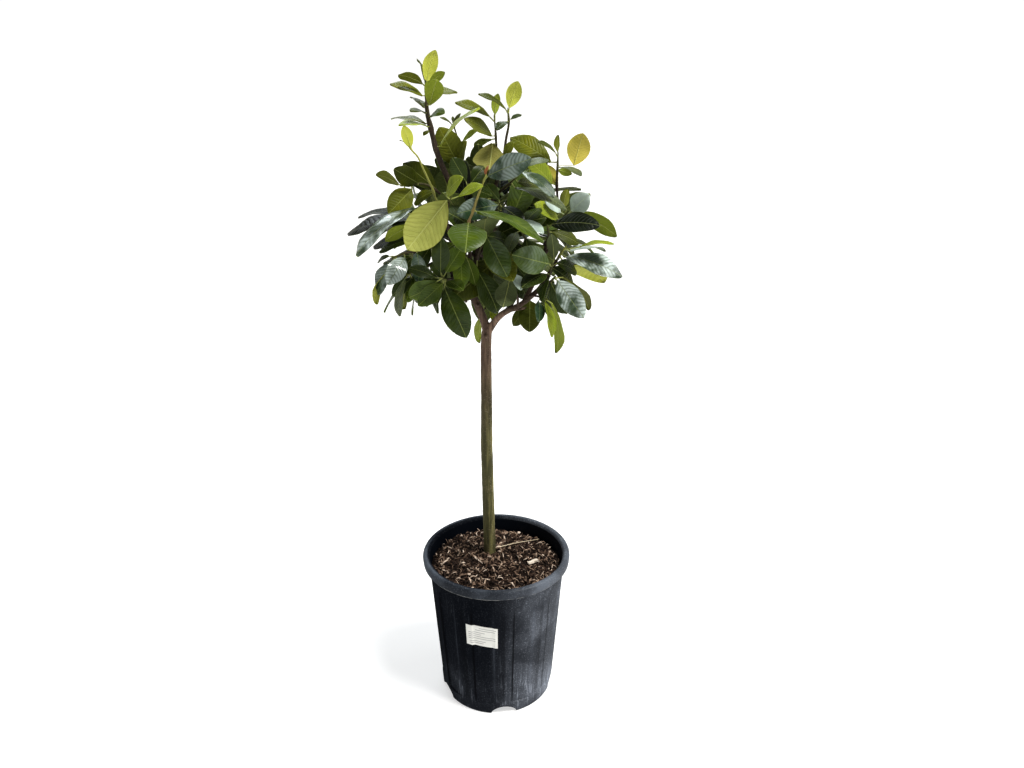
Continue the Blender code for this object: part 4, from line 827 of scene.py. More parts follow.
# Each row of leaves: where the view shows its foot and its tip, the width seen, how far its tip leans back
# in centimetres, its tone, and UNDER where its lower face shows
SHOOTS = (
    Shoot("shoot_leader", "leader_limb", (0.0032, 0.001), (
        (455.5, 199, -4), (448.2, 179.5, -4), (442, 165.5, -4), (436, 149.5, -4), (431, 129, -4),
        (427.8, 115.7, -4), (426.2, 100, -4), (425.8, 84.5, -4)), (
        (426.5, 83, 435.4, 49.8, 15, 0.5, "lemon", UNDER), (425, 80, 418.2, 60.7, 6, 4, "moss"),
        (422.5, 83.6, 398.1, 75, 10, -2.5, "olive", UNDER), (422.5, 95.5, 389.8, 83.9, 8, -1, "olive"),
        (429, 84.2, 444.9, 71.9, 9, 3, "spring", UNDER),
        (429.5, 104.9, 436.8, 79, 20, -4.5, "spring", UNDER), (430, 94, 457.5, 92.2, 7, 3, "olive"),
        (424, 107.5, 411.3, 97.4, 5, 4, "moss"), (425, 113, 410.4, 111.2, 3, -4, "moss"),
        (431, 115.8, 444.3, 112.9, 7, -4, "green"), (426, 123.5, 390.9, 118.6, 4, 2, "olive"),
        (428, 126.5, 398.4, 125, 4, -4, "spring"), (429, 130.5, 423.4, 135.5, 4, -1.5, "olive"),
        (439.8, 146, 479.5, 107.4, 3, -2, "spring"))),
    Shoot("shoot_slender", "left_front_limb", (0.0019, 0.001), (
        (440.5, 207, -11.5), (435.5, 198.7, -11.5), (432.3, 188.4, -11.8), (424, 170.6, -12),
        (418.3, 157.8, -12), (412.2, 150.8, -12)), (
        (411, 147.5, 403.6, 125.3, 12, 0.5, "lemon", UNDER), (410.5, 148.5, 399.8, 140.3, 2, -2, "olive"))),
    Shoot("shoot_front", "left_front_limb", (0.002, 0.0012), (
        (447.5, 209, -13), (448.5, 203, -13.6), (450.5, 198.5, -14)), (
        (446.8, 200.5, 407, 250.2, 40, -3, "straw", UNDER), (446, 196.5, 462.3, 177, 12, -4, "spring"),
        (458.7, 196, 483, 185.5, 9, -2, "spring"))),
    Shoot("shoot_left_top", "leader_limb", (0.0022, 0.0011), (
        (448, 203, -5), (438, 192, -5.5), (424, 184, -6), (404, 185.5, -6)), (
        (436, 188.5, 403, 163, 22, 3, "moss"), (418, 183, 394, 169, 20, -4, "moss"),
        (412, 189, 388.5, 213.5, 24, -4, "olive"), (399, 184.5, 376, 174.5, 10, 3, "olive", UNDER))),
    Shoot("shoot_left_middle", "left_low_limb", (0.002, 0.0011), (
        (431, 240, -6), (424, 226, -8), (416, 211, -9)), (
        (414, 207, 356, 256, 14, -3, "wax"), (406, 213.5, 357.8, 217.3, 7, 2.5, "night"),
        (408, 221, 347.2, 234, 14, 4, "night"), (412, 226, 385, 241, 13, 1, "spring", UNDER),
        (416, 240, 373, 247, 14, 3.5, "night"))),
    Shoot("shoot_left_low", "left_low_limb", (0.0018, 0.0011), (
        (422, 251.5, -7), (408, 252.5, -9), (394, 257, -9.5)), (
        (417, 253, 418.5, 283, 16, -4, "teal"), (405, 257, 387.5, 284.6, 20, -5, "wax"),
        (391, 262, 377.6, 294.8, 14, 2, "teal"), (389, 256, 377.6, 262.5, 4, 1, "deep"),
        (395, 262, 376.4, 303.8, 5, 5, "lemon", UNDER))),
    Shoot("shoot_left_bottom", "left_low_limb", (0.0018, 0.0011), (
        (430, 264, -6.5), (418, 270, -8.5), (408, 274, -9.5)), (
        (405, 278.5, 399.3, 316.5, 9, -4, "grey"), (411, 278.5, 404.4, 308.2, 9, 1, "olive", UNDER),
        (416, 274, 420, 303, 15, 4, "deep"))),
    Shoot("shoot_whorl", "left_low_limb", (0.002, 0.0013), (
        (451, 279, -8), (446, 279.5, -11), (442.3, 277.5, -13)), (
        (440.5, 272.5, 441, 238, 19, -1, "deep"), (446, 272.5, 463, 246, 19, 2, "green"),
        (447, 281, 463, 290, 12, -4.5, "green"), (437, 281.5, 409, 297.5, 27, -6, "green"),
        (444, 283.5, 453.5, 303.5, 13, 5, "deep"), (444.5, 288, 466.5, 338, 28, -3, "deep"),
        (435.5, 277.5, 408, 268, 12, 3, "deep"))),
    Shoot("shoot_front_low", "front_limb", (0.0018, 0.0012), (
        (466, 258, -8.5), (462.5, 251, -10), (460, 246, -11)), (
        (459.5, 251.5, 462, 288.5, 18, -2.5, "green"), (466.5, 257, 475.5, 285.5, 14, 3, "green", UNDER),
        (454.5, 244, 436, 262, 16, 5, "green"))),
    Shoot("shoot_forward", "front_limb", (0.002, 0.0012), (
        (469.2, 227, -12.2), (468.9, 221, -12.6), (472.1, 214, -13), (476.6, 200, -14),
        (481, 187.8, -14.5), (484.9, 178.3, -15)), (
        (487.5, 176, 531.7, 158.5, 25, -3, "teal"), (485.6, 175, 488.3, 165.5, 3, 0, "russet"),
        (468.5, 223, 465.7, 251.4, 40, -7, "green"), (477, 211.5, 544, 241.5, 11, 0, "green"))),
    Shoot("shoot_teal", "centre_limb", (0.0019, 0.0012), (
        (492, 214, -2.5), (497, 207, -5.5), (500, 203.5, -7.5)), (
        (498, 205, 456, 214, 22, -3, "teal"), (502, 207, 524, 224, 15, -4, "night"),
        (499, 200, 486, 184, 13, 2, "deep"))),
    Shoot("shoot_centre_low", "front_limb", (0.0019, 0.0012), (
        (476, 262, -8), (480, 250, -9.5), (484.5, 239.5, -10.5)), (
        (486.3, 236, 507.4, 277.2, 26, -3.5, "sage"), (477, 270, 497.8, 313.5, 23, -3.5, "deep"),
        (488, 236, 510, 243, 13, 4, "deep"))),
    Shoot("shoot_centre_right", "right_limb", (0.0018, 0.0012), (
        (517, 296, -4.5), (514.5, 286, -7), (512.5, 277, -8.5)), (
        (510, 278.5, 503, 307.5, 23, -4, "grey", UNDER), (515, 274, 521, 290, 11, -3.5, "frost"),
        (510.5, 272, 494, 258, 14, 4, "deep"))),
    Shoot("shoot_right_front", "right_limb", (0.0019, 0.0012), (
        (547, 281, -5), (550, 273, -6.5), (552, 265.5, -8)), (
        (549.5, 264, 512.5, 255, 29, -5.5, "sage"), (546.5, 274, 522, 287.5, 15, -5, "deep"),
        (554, 259.5, 551.5, 234, 13, -3, "grey", UNDER), (557, 263, 577, 273, 12, 4, "deep"))),
    Shoot("shoot_right_inner", "right_up_limb", (0.0018, 0.0012), (
        (531, 246, -4), (525, 238, -6.5), (520, 229, -8)), (
        (521, 220, 543.5, 234, 9, -5, "frost"), (517, 232, 508, 252, 13, -4, "grey"),
        (523, 226, 541, 208, 12, 4, "deep"), (528, 240, 540, 264, 15, 2, "deep"))),
    Shoot("shoot_right", "right_limb", (0.002, 0.0012), (
        (558.5, 257.5, -5.5), (561.5, 252.5, -6.3), (564.5, 248.5, -7)), (
        (580, 246.5, 614, 243.7, 4, -1.5, "spring"), (566, 256.5, 622.5, 276.7, 20, -2, "wax"),
        (567, 266, 604.2, 281.5, 11, 4, "lemon", UNDER), (570, 250.5, 605, 250.5, 3, 6, "frost"))),
    Shoot("shoot_right_low", "right_limb", (0.0019, 0.0012), (
        (547.5, 284, -5.5), (551, 281, -8), (554.5, 277.5, -9.5)), (
        (557, 280, 584, 318, 25, -5, "wax"), (551, 283, 567, 314, 20, 2, "deep"),
        (563, 277, 589, 309.6, 7, 5, "olive", UNDER))),
    Shoot("shoot_right_dark", "right_up_limb", (0.0019, 0.0012), (
        (550, 244, -2.5), (549, 235, -4.5), (547.5, 227, -6)), (
        (551.5, 224.5, 600, 225.5, 20, -4, "night"), (552, 232, 579, 244, 12, 3, "moss"))),
    Shoot("shoot_right_white", "right_up_limb", (0.0019, 0.0012), (
        (558.5, 224, 0.5), (563, 217.5, -0.5), (567, 213, -1.5)), (
        (571, 211, 589, 194.5, 21, -3, "frost"), (574, 213.5, 617.2, 236.3, 17, 3, "spring", UNDER),
        (563.5, 207, 568, 189, 10, 3, "olive", UNDER), (558, 219, 534, 204, 13, -4, "spring"),
        (561, 212.5, 545, 201, 9, -1, "frost"))),
    Shoot("shoot_top_front", "centre_limb", (0.0018, 0.0011), (
        (502, 190, -3.5), (509, 184, -6), (517, 176.5, -8)), (
        (522, 171.5, 555, 197.4, 12, -3, "wax"), (515, 187.5, 567, 210, 10, -3.5, "grey"),
        (518, 182, 541, 188, 14, 4, "moss"), (522, 167, 549, 160, 7, 1, "grey"))),
    Shoot("shoot_right_top", "right_up_limb", (0.0018, 0.0009), (
        (557.2, 193, 2.2), (556.8, 183.3, 2.2), (557.5, 168, 2), (558, 155.5, 2)), (
        (555.5, 152.4, 537.6, 141.3, 4, -1.5, "moss"), (557.6, 152, 558, 134.6, 6, 2.5, "olive", UNDER),
        (574, 165.5, 582.9, 133, 24, 0.5, "amber", UNDER), (551, 162, 510, 137.5, 21, 2, "olive"),
        (552.5, 184, 527, 160, 18, -3, "spring"), (561.5, 167, 581.6, 175.7, 5, -4, "grey"))),
    Shoot("shoot_top_middle", "centre_limb", (0.0017, 0.001), (
        (497, 171, 2), (496.1, 141.2, 2), (494.5, 118.5, 2)), (
        (489.1, 115.7, 455, 102.3, 9, -1, "olive"), (492, 136, 464.2, 118.3, 12, -2, "olive"),
        (494.8, 114.5, 498, 93.4, 9, 1.5, "spring", UNDER), (491.5, 139, 475, 148, 7, 4, "spring", UNDER),
        (492.5, 144, 489, 171.5, 36, -6, "khaki", UNDER))),
    Shoot("shoot_top_right", "centre_limb", (0.0016, 0.001), (
        (503.5, 160, 1), (505.7, 141.2, 1), (508.7, 124.6, 1), (508.2, 112, 1)), (
        (505.5, 108.5, 478.3, 93.7, 5, -1, "moss"), (509.2, 108, 518, 81, 16, 0.5, "lemon", UNDER),
        (506.5, 121.5, 497, 130, 8, -4, "deep"), (511, 119, 521.6, 114.7, 4, 1, "deep"))),
    Shoot("shoot_top_left", "leader_limb", (0.0017, 0.0009), (
        (463, 178, 1.5), (460, 155, 2.6), (457.4, 138, 3), (454.2, 127.5, 3)), (
        (453.6, 125, 452.8, 116.4, 4, 1, "moss"), (452, 124.5, 440, 117.3, 2, -1, "moss"),
        (455, 124.5, 460.4, 113.2, 2, 0, "moss"), (459, 166, 439, 127, 27, -1.5, "olive"),
        (462, 143, 477.6, 129.7, 5, 2, "spring", UNDER))),
    Shoot("shoot_inner_top", "leader_limb", (0.0017, 0.0011), (
        (463, 202, -5), (466, 193, -6.5), (468, 186, -7.5)), (
        (466, 181.5, 452, 157.5, 17, 1.5, "deep"), (471.5, 182.5, 484, 166, 15, 2, "deep"),
        (470, 190, 492, 196, 12, -3, "deep"))),
    Shoot("shoot_hanging", "right_limb", (0.0018, 0.0011), (
        (536, 296, -5.5), (540.5, 297, -8), (546, 299, -9.5)), (
        (545.5, 302, 552.3, 337.5, 9, -2, "spring"), (552.5, 303.5, 556.5, 353.2, 9, -1, "spring", UNDER),
        (538.5, 301, 538.5, 322, 10, -3.5, "teal"))),
    Shoot("shoot_right_under", "right_limb", (0.0018, 0.0011), (
        (524, 308, 1), (528, 306.5, 3), (532, 304.5, 4)), (
        (530, 300, 529.5, 332, 24, -5, "moss"), (540, 303, 556, 318, 12, 4, "deep"))),
    Shoot("shoot_fork_sprout", "left_limb", (0.0013, 0.0009), (
        (485, 309, 3), (487, 306, 4), (489, 304, 4.6)), (
        (490.5, 307, 496, 325, 8, -1.5, "spring"), (484.5, 309.5, 479, 343, 7, 2.5, "spring", UNDER))),
)

# Leaves that fill the gaps between the large ones, each on the shoot that it names
EXTRA_LEAVES = (
    ("shoot_left_middle", 412, 240, 379, 252.5, 9, 4, "deep"),
    ("shoot_left_low", 428, 256, 412, 264, 13, 3, "green"),
    ("shoot_left_low", 412, 258, 398, 282, 15, 3, "deep"),
    ("shoot_left_bottom", 424, 272, 427, 307, 16, 2, "green"),
    ("shoot_left_bottom", 412, 278, 392, 296, 14, 4, "deep"),
    ("shoot_whorl", 443, 283, 418, 306, 18, 1, "green"),
    ("shoot_whorl", 446, 280, 432, 262, 14, 4, "deep"),
    ("shoot_right_front", 550, 276, 542, 302, 14, 1, "deep"),
    ("shoot_right_low", 553, 281, 546, 306, 12, 3, "deep"),
    ("shoot_right_under", 528, 306, 513, 326, 13, 1, "moss"),
    ("shoot_right_top", 558, 170, 572, 174, 8, 1, "spring", UNDER),
    ("shoot_right_top", 557, 186, 547, 165, 12, -1, "amber", UNDER),
    ("shoot_top_left", 461, 166, 466, 141, 8, -1, "olive"),
    ("shoot_top_right", 504, 158, 513, 141, 9, 1, "olive"),
    ("shoot_right", 561, 258, 598, 284, 9, 5, "spring"),
    ("shoot_slender", 433, 192, 414, 204, 10, 3, "moss"),
    ("shoot_left_low", 430, 247, 416, 270, 15, 3, "deep"),
    ("shoot_left_low", 410, 256, 388, 264, 12, 3, "deep"),
    ("shoot_left_bottom", 425, 272, 406, 302, 15, 2, "green"),
    ("shoot_left_bottom", 428, 270, 438, 304, 15, 3, "deep"),
    ("shoot_right_inner", 526, 238, 530, 262, 15, 3, "deep"),
    ("shoot_right_front", 552, 268, 574, 288, 15, 3, "deep"),
)

# Leaf tones: colour of the face that shows, and how much sheen it has: a pale reflection of the bright sky
# painted between its veins, which also sets its coat's gloss. The pale grey-green tone's colour is itself a
# painted reflection.
TONES = {
    # The lemon tone is the young top leaves' yellow, brightened as painted light shining through them from
    # behind.
    "lemon": (0.43, 0.46, 0.075, 0.0), "amber": (0.50, 0.44, 0.085, 0.0), "straw": (0.29, 0.31, 0.08, 0.0),
    "spring": (0.215, 0.265, 0.030, 0.10), "olive": (0.115, 0.130, 0.014, 0.15),
    "khaki": (0.165, 0.160, 0.040, 0.0), "moss": (0.050, 0.062, 0.007, 0.15),
    "green": (0.056, 0.088, 0.008, 0.35), "deep": (0.024, 0.039, 0.004, 0.32),
    "night": (0.006, 0.010, 0.003, 0.28), "teal": (0.022, 0.048, 0.022, 0.72),
    "grey": (0.090, 0.112, 0.050, 0.45), "sage": (0.046, 0.074, 0.015, 0.52),
    "frost": (0.350, 0.420, 0.370, 0.80), "wax": (0.040, 0.064, 0.034, 1.0),
    "russet": (0.300, 0.110, 0.040, 0.0),
}
HIDDEN_TONES = ("deep", "deep", "green", "green", "moss", "teal", "night", "olive", "grey", "deep")


def eye_distance(point):
    """Distance from the eye along its line of view, which scales the widths seen there."""
    return (point - EYE).dot(FORWARD)


def half_outline(share):
    """Half width of a laurel blade along its midrib, 1 at its widest."""
    return math.sin(math.pi * share ** OUTLINE_SKEW) ** OUTLINE_FULLNESS


def half_width(pose, share, outline):
    """Half the blade's width at a share along it, which near its foot is never under the stalk's."""
    return max(pose.width / 2 * outline(share), STALK_WIDTH / 2 if share < 0.5 else 0.0)


def blade_point(pose, share, across):
    """Point of the blade's upper face at a share along its midrib and across it from -1 to 1, and the
    directions across and up there."""
    run = pose.tip - pose.foot
    side = run.normalized().cross(pose.normal)
    arch = pose.foot.lerp(pose.tip, 0.5) + pose.normal * run.length * BLADE_ARCH * 2
    middle = pose.foot * (1 - share) ** 2 + arch * 2 * share * (1 - share) + pose.tip * share ** 2
    tangent = ((arch - pose.foot) * (1 - share) + (pose.tip - arch) * share).normalized()
    normal = side.cross(tangent)
    half = half_width(pose, share, half_outline)
    ripple = math.sin(math.tau * (WAVES_PER_BLADE * share + pose.phase)) * math.sin(math.pi * share)
    lift = abs(across) * (half * math.sin(BLADE_FOLD) + ripple * across * BLADE_WAVE * pose.width)
    return middle + side * across * half * math.cos(BLADE_FOLD) + normal * lift, side, normal


def plain_leaf(pose, thickness):
    """The leaf as a thick three-point-wide grid, used to find room for it."""
    bm = bmesh.new()
    rows = len(BLADE_ROWS)
    bmesh.ops.create_grid(bm, x_segments=2, y_segments=rows, size=1.0)
    for vert in bm.verts:
        across = round(vert.co.x)
        row = round((vert.co.y + 1) / 2 * rows)
        vert.co = pose.root if row == 0 else blade_point(pose, BLADE_ROWS[row - 1], across)[0]
    for vert in bm.verts:
        vert.co += pose.normal * (thickness - BLADE_THICKNESS) / 2
    bmesh.ops.remove_doubles(bm, verts=bm.verts, dist=0.00002)
    bmesh.ops.triangulate(bm, faces=bm.faces)
    bmesh.ops.recalc_face_normals(bm, faces=bm.faces)
    if sum(face.normal.dot(pose.normal) for face in bm.faces) < 0:
        bmesh.ops.reverse_faces(bm, faces=bm.faces)
    bmesh.ops.solidify(bm, geom=bm.faces, thickness=thickness)
    return bm


obstacles = []


def obstacle(bm, owner, kind):
    """The room that a shape takes, and whose it is."""
    middle = sum((vert.co for vert in bm.verts), Vector()) / len(bm.verts)
    reach = max((vert.co - middle).length for vert in bm.verts)
    found = Obstacle(BVHTree.FromBMesh(bm), middle, reach, owner, kind)
    bm.free()
    return found


def keep_clear_of_stem(route, radii, sides, owner):
    """Notes the room taken by a stem or limb."""
    rod = tube("plain_stem", route, radii, sides)
    bm = bmesh.new()
    bm.from_mesh(rod.data)
    bpy.data.objects.remove(rod)
    obstacles.append(obstacle(bm, owner, "stem"))


def is_clear(pose, owner, own_leaves_too):
    """Whether a leaf, with clearance all round, meets nothing but its own stem."""
    candidate = obstacle(plain_leaf(pose, 2 * CLEARANCE), owner, "leaf")
    for other in obstacles:
        if other.owner == owner and not (own_leaves_too and other.kind == "leaf"):
            continue
        if (candidate.middle - other.middle).length < candidate.reach + other.reach:
            if candidate.tree.overlap(other.tree):
                return False
    return True


def seen_pose(leaf, stem, swing, roll, phase):
    """Pose of a leaf from its place in the view, its upper face turned as far to the sky as its seen width
    lets it."""
    near_stem = point_along(stem, len(stem))
    for _ in range(4):
        near_stem, place = nearest_on(stem, seen_at(*leaf.foot, 100 * near_stem.y))
    root = point_along(stem, min(max(place, ROOT_FIRST), len(stem) - ROOT_LAST))
    depth = 100 * root.y
    lean = leaf.lean + swing
    foot = seen_at(*leaf.foot, depth + FOOT_LEAN * lean)
    tip = seen_at(*leaf.tip, depth + lean)
    along = (tip - foot).normalized()
    middle = foot.lerp(tip, 0.5)
    sight = (EYE - middle).normalized()
    facing = (sight - along * sight.dot(along)).normalized()
    seen_width = leaf.wide / VIEW_FOCUS * eye_distance(middle)
    width = max(BLADE_RATIO * (tip - foot).length, seen_width)
    turn = math.acos(min(1.0, seen_width / width))
    turned_faces = [Matrix.Rotation(sign * turn, 3, along) @ facing for sign in (1, -1)]
    normal = max((leaf.shows * face for face in turned_faces), key=lambda face: face.z)
    return Pose(root, foot, tip, Matrix.Rotation(roll, 3, along) @ normal, width, phase)


def place_seen_leaf(leaf, stem, owner, phase):
    """Pose clear of all else: the tip swings along the line of sight, then the blade rolls."""
    swings = [0.0]
    for step in range(1, SWING_COUNT + 1):
        swings += [-SWING_STEP * step, SWING_STEP * step]
    for own_leaves_too in (True, False):
        for roll in ROLLS:
            for swing in swings:
                pose = seen_pose(leaf, stem, swing, roll, phase)
                if is_clear(pose, owner, own_leaves_too):
                    return pose
    return None


def between(ends, index):
    """Value for a hidden shoot's leaf, from the first leaf's to the last one's."""
    return ends[0] + (ends[1] - ends[0]) * index / (HIDDEN_LEAVES - 1)


def hidden_pose(stem, index, turn, spread, length, phase):
    """Pose of a leaf that follows the growth rule: each a two-fifths turn round the stem from the last."""
    place = between(HIDDEN_PLACES, index) * (len(stem) - 1)
    root = point_along(stem, min(place, len(stem) - ROOT_LAST))
    axis = (stem[-1] - stem[0]).normalized()
    across = axis.orthogonal().normalized()
    outward = Matrix.Rotation(index * LEAF_TURN + turn, 3, axis) @ across
    along = axis * math.cos(spread) + outward * math.sin(spread) - Vector((0.0, 0.0, HIDDEN_DROOP))
    along.normalize()
    skyward = axis * SHOOTWARD + Vector((0.0, 0.0, SKYWARD))
    normal = (skyward - along * skyward.dot(along)).normalized()
    foot = root + along * STALK_LENGTH
    return Pose(root, foot, foot + along * length, normal, length * BLADE_RATIO, phase)


def place_hidden_leaf(stem, index, owner):
    """Pose of a hidden shoot's leaf, in the first spread and turn that have room."""
    length = draw.uniform(*HIDDEN_LENGTH)
    phase = draw.random()
    for own_leaves_too in (True, False):
        for size in SIZE_STEPS:
            for spread_step in SPREAD_STEPS:
                spread = between(HIDDEN_SPREADS, index) + spread_step
                for turn in TURN_STEPS:
                    pose = hidden_pose(stem, index, turn, spread, length * size, phase)
                    if is_clear(pose, owner, own_leaves_too):
                        return pose
    return None


def hidden_shoots():
    """Stems of the shoots inside and behind, each from the crown's middle towards its outline."""
    for number, (turn_degrees, rise_degrees, end) in enumerate(HIDDEN_SHOOTS, 1):
        turn = math.radians(turn_degrees)
        rise = math.radians(rise_degrees)
        level = math.cos(rise)
        direction = Vector((math.cos(turn) * level, math.sin(turn) * level, math.sin(rise)))
        reach = Vector(size * part for size, part in zip(CROWN_RADII, direction))
        stem = [CROWN_MIDDLE + reach * (end - HIDDEN_STEM_LENGTH * back) for back in (1.0, 0.5, 0.0)]
        stem[1].z += HIDDEN_STEM_BOW
        yield "shoot_hidden_%02d" % number, stem


stems = {}
for shoot in SHOOTS:
    stems[shoot.name] = (shoot.limb, [seen_at(*spot) for spot in shoot.stem], shoot.radii)
for name, stem in hidden_shoots():
    nearest = {limb: nearest_on(route, stem[0])[0] for limb, route in limb_routes.items()}
    limb = min(nearest, key=lambda limb_name: (nearest[limb_name] - stem[0]).length)
    stems[name] = (limb, stem, HIDDEN_RADII)

spurs = {}
for name, (limb, stem, radii) in stems.items():
    direction = (stem[1] - stem[0]).normalized()
    spurs[name] = spur_route(limb_routes[limb], stem[0], direction)
    stem[0] = stem[0] + direction * TOUCH_GAP
    keep_clear_of_stem(stem, radii, TWIG_SIDES, name)
    keep_clear_of_stem(spurs[name], [radii[0] * swell for swell in SPUR_SWELL], TWIG_SIDES, "trunk")
for route, radii, sides in plain_limbs.values():
    keep_clear_of_stem(route, radii, sides, "trunk")

draw = random.Random(4)
tone_draw = random.Random(9)
placed = {name: [] for name in stems}


def keep_leaf(pose, name, shows, tone):
    """Gives a shoot a leaf where one found room."""
    if pose:
        placed[name].append((pose, shows, tone))
        obstacles.append(obstacle(plain_leaf(pose, BLADE_THICKNESS), name, "leaf"))


def keep_seen_leaf(row, name, phases):
    """Gives a shoot the leaf of a row of its table."""
    across, down, tip_across, tip_down, wide, lean, tone, *shows = row
    leaf = Leaf((across, down), (tip_across, tip_down), wide, lean, shows[0] if shows else UPPER)
    keep_leaf(place_seen_leaf(leaf, stems[name][1], name, phases.random()), name, leaf.shows, tone)


for shoot in SHOOTS:
    for row in shoot.leaves:
        keep_seen_leaf(row, shoot.name, draw)
for name in stems:
    if not placed[name]:
        for index in range(HIDDEN_LEAVES):
            pose = place_hidden_leaf(stems[name][1], index, name)
            keep_leaf(pose, name, UPPER, tone_draw.choice(HIDDEN_TONES))

for name, *row in EXTRA_LEAVES:
    keep_seen_leaf(row, name, tone_draw)

# The shoot behind the fork keeps it in plain sight: the leaf that would hang across it is left off
FORK_SHOOT = "shoot_hidden_17"
placed[FORK_SHOOT].pop(3)

# More leaves fill the hidden shoots' gaps by the same rule, turned on from the plain ones by the first of
# these turns that has room
FILL_PLACES = (0, 2, 3, 4)
FILL_TURNS = [math.radians(turn) for turn in (72.0, 50.0, 95.0, 120.0)]
FILL_SPREAD_STEPS = (0.0, 0.3, -0.3)
FILL_LENGTH = (0.070, 0.092)
for name in stems:
    if not name.startswith("shoot_hidden") or name == FORK_SHOOT:
        continue
    for index in FILL_PLACES:
        length = tone_draw.uniform(*FILL_LENGTH)
        phase = tone_draw.random()
        spread = between(HIDDEN_SPREADS, index)
        poses = [hidden_pose(stems[name][1], index, turn, spread + step, length, phase)
                 for turn in FILL_TURNS for step in FILL_SPREAD_STEPS]
        clear = (pose for pose in poses if is_clear(pose, name, True))
        keep_leaf(next(clear, None), name, UPPER, tone_draw.choice(HIDDEN_TONES))

# One leaf is modelled flat: a blade with two faces and a stalk that runs on as the midrib under it
LEAF_ROWS = (0.0, 0.03, 0.10, 0.20, 0.32, 0.44, 0.56, 0.68, 0.79, 0.88, 0.945, 0.985, 1.0)
RIB_ROWS = (-1.0, -0.66, -0.33, 0.0, 0.12, 0.30, 0.50, 0.70, 0.85)
LEAF_COLUMNS = 4
LEAF_THICKNESS = 0.0005
RIB_SIDES = 6
RIB_RADIUS = 0.0013
RIB_END_RADIUS = 0.0003
OUTLINE_LEAN = 1.12
OUTLINE_BLUNTNESS = 0.66
FULL_LENGTH = 0.085
FULL_WIDTH = 0.045
STALK_BOW = 0.15
RIB_DEPTH = 0.62
RIM_CURL = 0.22
TINT_SPREAD = (0.88, 1.14)
OTHER_FACE = 0.55
UNDER_BLOOM = Vector((0.085, 0.105, 0.035))
UNSEEN_SHEEN = 0.2

flat_leaf = begin("flat_leaf", bpy.ops.mesh.primitive_grid_add, x_subdivisions=LEAF_COLUMNS,
                  y_subdivisions=len(LEAF_ROWS) - 1, size=2.0)
faces = flat_leaf.modifiers.new("Two faces", "SOLIDIFY")
faces.thickness = 2.0
faces.offset = 0.0
faces.use_rim = True
faces.material_offset = 1
faces.material_offset_rim = 1
blank_upper = bpy.data.materials.new("blank upper")
blank_under = bpy.data.materials.new("blank under")
wear_finish(flat_leaf, blank_upper, blank_under)
apply_all(flat_leaf)
for vertex in flat_leaf.data.vertices:
    vertex.co.y = LEAF_ROWS[round((vertex.co.y + 1.0) / 2.0 * (len(LEAF_ROWS) - 1))]

flat_rib = begin("flat_rib", bpy.ops.mesh.primitive_cylinder_add, vertices=RIB_SIDES, radius=1.0, depth=2.0,
                 end_fill_type="NGON")
cut_long_edges(flat_rib, 2, len(RIB_ROWS) - 2)
for vertex in flat_rib.data.vertices:
    row = round((vertex.co.z + 1.0) / 2.0 * (len(RIB_ROWS) - 1))
    vertex.co = (vertex.co.x, RIB_ROWS[row], vertex.co.y)
face_outwards(flat_rib)
wear_finish(flat_rib, blank_upper, blank_under)
for face in flat_rib.data.polygons:
    face.material_index = 1
rib_start = len(flat_leaf.data.vertices)
select_only(flat_leaf, flat_rib)
bpy.ops.object.join()
flat_leaf = bpy.context.object
flat_points = [tuple(vertex.co) for vertex in flat_leaf.data.vertices]
blade_map = flat_leaf.data.uv_layers.new(name="blade")
for loop in flat_leaf.data.loops:
    across, share, _ = flat_points[loop.vertex_index]
    if loop.vertex_index >= rib_start:
        across = 0.0
    spread = half_outline(min(1.0, max(0.0, share))) * BLADE_RATIO / 2
    blade_map.data[loop.index].uv = (share, across * spread)
across_kept = flat_leaf.data.attributes.new("across", "FLOAT", "POINT")
across_kept.data.foreach_set("value", [0.0 if index >= rib_start else spot[0]
                                       for index, spot in enumerate(flat_points)])
flat_leaf.data.attributes.new("tint", "FLOAT_COLOR", "POINT")
flat_leaf.data.attributes.new("size", "FLOAT", "POINT")


def laurel_outline(share):
    """Half width of a real blade, fuller than its plain one: widest past its middle, with a blunt end."""
    return math.sin(math.pi * share ** OUTLINE_LEAN) ** OUTLINE_BLUNTNESS


def surface_point(pose, share, across):
    """Point of the full blade, moved out to its fuller outline with its rim curled down, and the way up."""
    spot, side, normal = blade_point(pose, share, across)
    fuller = half_width(pose, share, laurel_outline) - half_width(pose, share, half_outline)
    curl = RIM_CURL * pose.width * max(0.0, abs(across) - 0.5) ** 2
    return spot + side * across * fuller - normal * curl, normal


def rib_place(pose, share):
    """Middle of the stalk and midrib, its radius, and the directions across it and up."""
    thick = pose.width / FULL_WIDTH
    _, side, normal = blade_point(pose, max(share, 0.0), 0)
    if share < 0.0:
        bow = pose.normal * STALK_BOW * (pose.foot - pose.root).length * share * (1 + share)
        radius = RIB_RADIUS * min(1.0, 0.55 + 0.45 * thick) * (1.0 + 0.35 * max(0.0, -0.6 - share))
        return pose.root.lerp(pose.foot, 1 + share) + bow, radius, side, normal
    radius = RIB_END_RADIUS + (RIB_RADIUS * 0.85 - RIB_END_RADIUS) * (1 - share) ** 1.6
    radius *= min(1.0, 0.45 + 0.55 * thick)
    return blade_point(pose, share, 0)[0] - normal * radius * RIB_DEPTH, radius, side, normal


